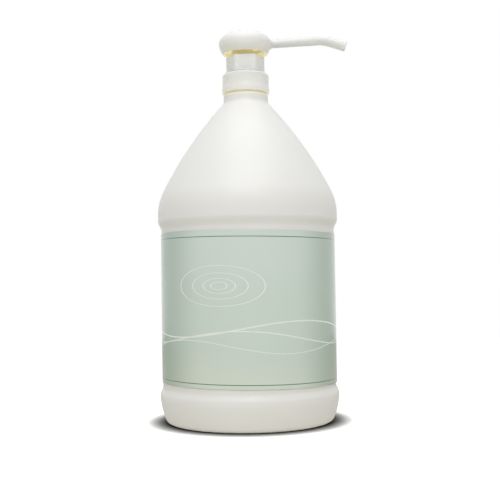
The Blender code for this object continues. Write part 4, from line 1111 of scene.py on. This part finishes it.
def makeSpring():
    # Round wire along a helix: at turn u its section is (mean + wire cos p, rise + wire sin p)
    # in the plane through the axis; the first and last turn lie closed against their neighbour
    s = spring
    low, high = span("return_spring")
    low, high = low + s["wire"], high - s["wire"]
    u = np.linspace(0, s["turns"], s["turns"] * s["perTurn"] + 1)
    u = np.concatenate([u[:1], u, u[-1:]])[:, None]
    wire = np.full_like(u, s["wire"])
    wire[[0, -1]] = 0
    rise = np.interp(u, [0, 1, s["turns"] - 1, s["turns"]],
                     [low, low + s["closedRise"], high - s["closedRise"], high])
    p = np.linspace(0, fullTurn, s["around"], endpoint=False)[None, :]
    r, z = s["mean"] + wire * np.cos(p), rise + wire * np.sin(p)
    grid = np.stack([r * np.cos(fullTurn * u), r * np.sin(fullTurn * u), z], -1)
    piece = crisp(gridPiece("returnSpring", grid, wrapRows=False), 60)
    steel = stainlessSteel("drawnStainlessWire", 0.28, 0.15)
    return settle(piece, "pump", steel, "spring_steel", "return_spring")


makeGasket()
makeWiper()
makeTube()
makeBallCage()
makeOutletCage()
makeSpring()
makeBall("inletBall", "inlet_ball", "inlet_ball",
         stainlessSteel("lappedStainlessSteel", 0.12, 0.4), "ball_steel")
makeBall("outletBall", "outlet_ball", "outlet_ball", sodaGlass(), "ball_glass")
print("stage: seals, tube, cages, spring and balls made")


stage = {
    "floorColour": "F2EFE4", "floorBoost": 2.1, "worldLight": 0.44, "floorSize": 2000,
    "shadeReach": 21, "shadeDepth": 3.3,
    "topPower": 3.7, "topSize": 900, "topPlace": (0, -100, 1300),
    "frontPower": 6.0, "frontSize": 900, "frontPlace": (0, -900, 1100),
}


def whiteFloor(look):
    # Plain board with a warm white paint, which throws a warm light up. The camera sees it
    # brighter than it is, but darker where the bottle stands close over it, so that only the
    # shade round the foot stays below white.
    made, tree = newMaterial("whiteBoard")
    seen = addNode(tree, "ShaderNodeLightPath").outputs["Is Camera Ray"]
    openness = addNode(tree, "ShaderNodeAmbientOcclusion", {
        "Distance": look["shadeReach"] * mm}, samples=16).outputs["AO"]
    shade = worked(tree, "POWER", openness, look["shadeDepth"])
    bright = worked(tree, "MULTIPLY", shade, look["floorBoost"])
    colour = painted(tree, seen, look["floorColour"], bright, clamp_result=False)
    surfaced(tree, {"Color": colour}, "ShaderNodeBsdfDiffuse")
    return made


def makeStage():
    half = stage["floorSize"] / 2
    x = np.array([[-half, half], [-half, half]])
    floor = gridPiece("floor", np.stack([x, x.T, 0 * x], -1), wrapRows=False, wrapColumns=False)
    floor.data.materials.append(whiteFloor(stage))
    if floor.data.polygons[0].normal.z < 0:
        floor.data.flip_normals()


def makeWorld():
    # white to the camera, to reflections and through clear things, softer as a light
    world = bpy.data.worlds.new("studio")
    bpy.context.scene.world = world
    world.use_nodes = True
    tree = world.node_tree
    tree.nodes.clear()
    path = addNode(tree, "ShaderNodeLightPath").outputs
    seen = worked(tree, "MAXIMUM", path["Is Camera Ray"], path["Is Glossy Ray"])
    seen = worked(tree, "MAXIMUM", seen, path["Is Transmission Ray"])
    strength = spread(tree, seen, 0.0, 1.0, stage["worldLight"], 1.0)
    sky = addNode(tree, "ShaderNodeBackground", {"Strength": strength, "Color": (1, 1, 1, 1)})
    addNode(tree, "ShaderNodeOutputWorld", {"Surface": sky.outputs[0]})


def makeLamp(name, power, size, place, target=(0, 0, 180)):
    data = bpy.data.lights.new(name, "AREA")
    data.energy, data.shape, data.size = power, "SQUARE", size * mm
    lamp = bpy.data.objects.new(name, data)
    lamp.location = Vector(place) * mm
    lamp.rotation_euler = (Vector(target) - Vector(place)).to_track_quat("-Z", "Y").to_euler()
    bpy.context.scene.collection.objects.link(lamp)


camera = {"distance": 772.0, "side": 1.81, "eyeHeight": 118.0, "pitch": 2.252, "roll": 0.825,
          "lens": 63.31}


def makeCamera():
    # stands level with the lower label, looks slightly up, and leans a little as the photo does
    data = bpy.data.cameras.new("camera")
    data.lens, data.sensor_width = camera["lens"], 36.0
    data.clip_start, data.clip_end = 0.01, 20.0
    made = bpy.data.objects.new("camera", data)
    level = Matrix.Rotation(np.radians(90 + camera["pitch"]), 4, "X")
    place = Vector((camera["side"], -camera["distance"], camera["eyeHeight"])) * mm
    lean = Matrix.Rotation(np.radians(-camera["roll"]), 4, "Z")
    made.matrix_world = Matrix.Translation(place) @ level @ lean
    bpy.context.scene.collection.objects.link(made)
    bpy.context.scene.camera = made


makeStage()
makeWorld()
makeLamp("topSoftbox", stage["topPower"], stage["topSize"], stage["topPlace"])
makeLamp("frontSoftbox", stage["frontPower"], stage["frontSize"], stage["frontPlace"])
makeCamera()
bpy.context.scene.view_settings.view_transform = "Standard"
print("stage: studio set")
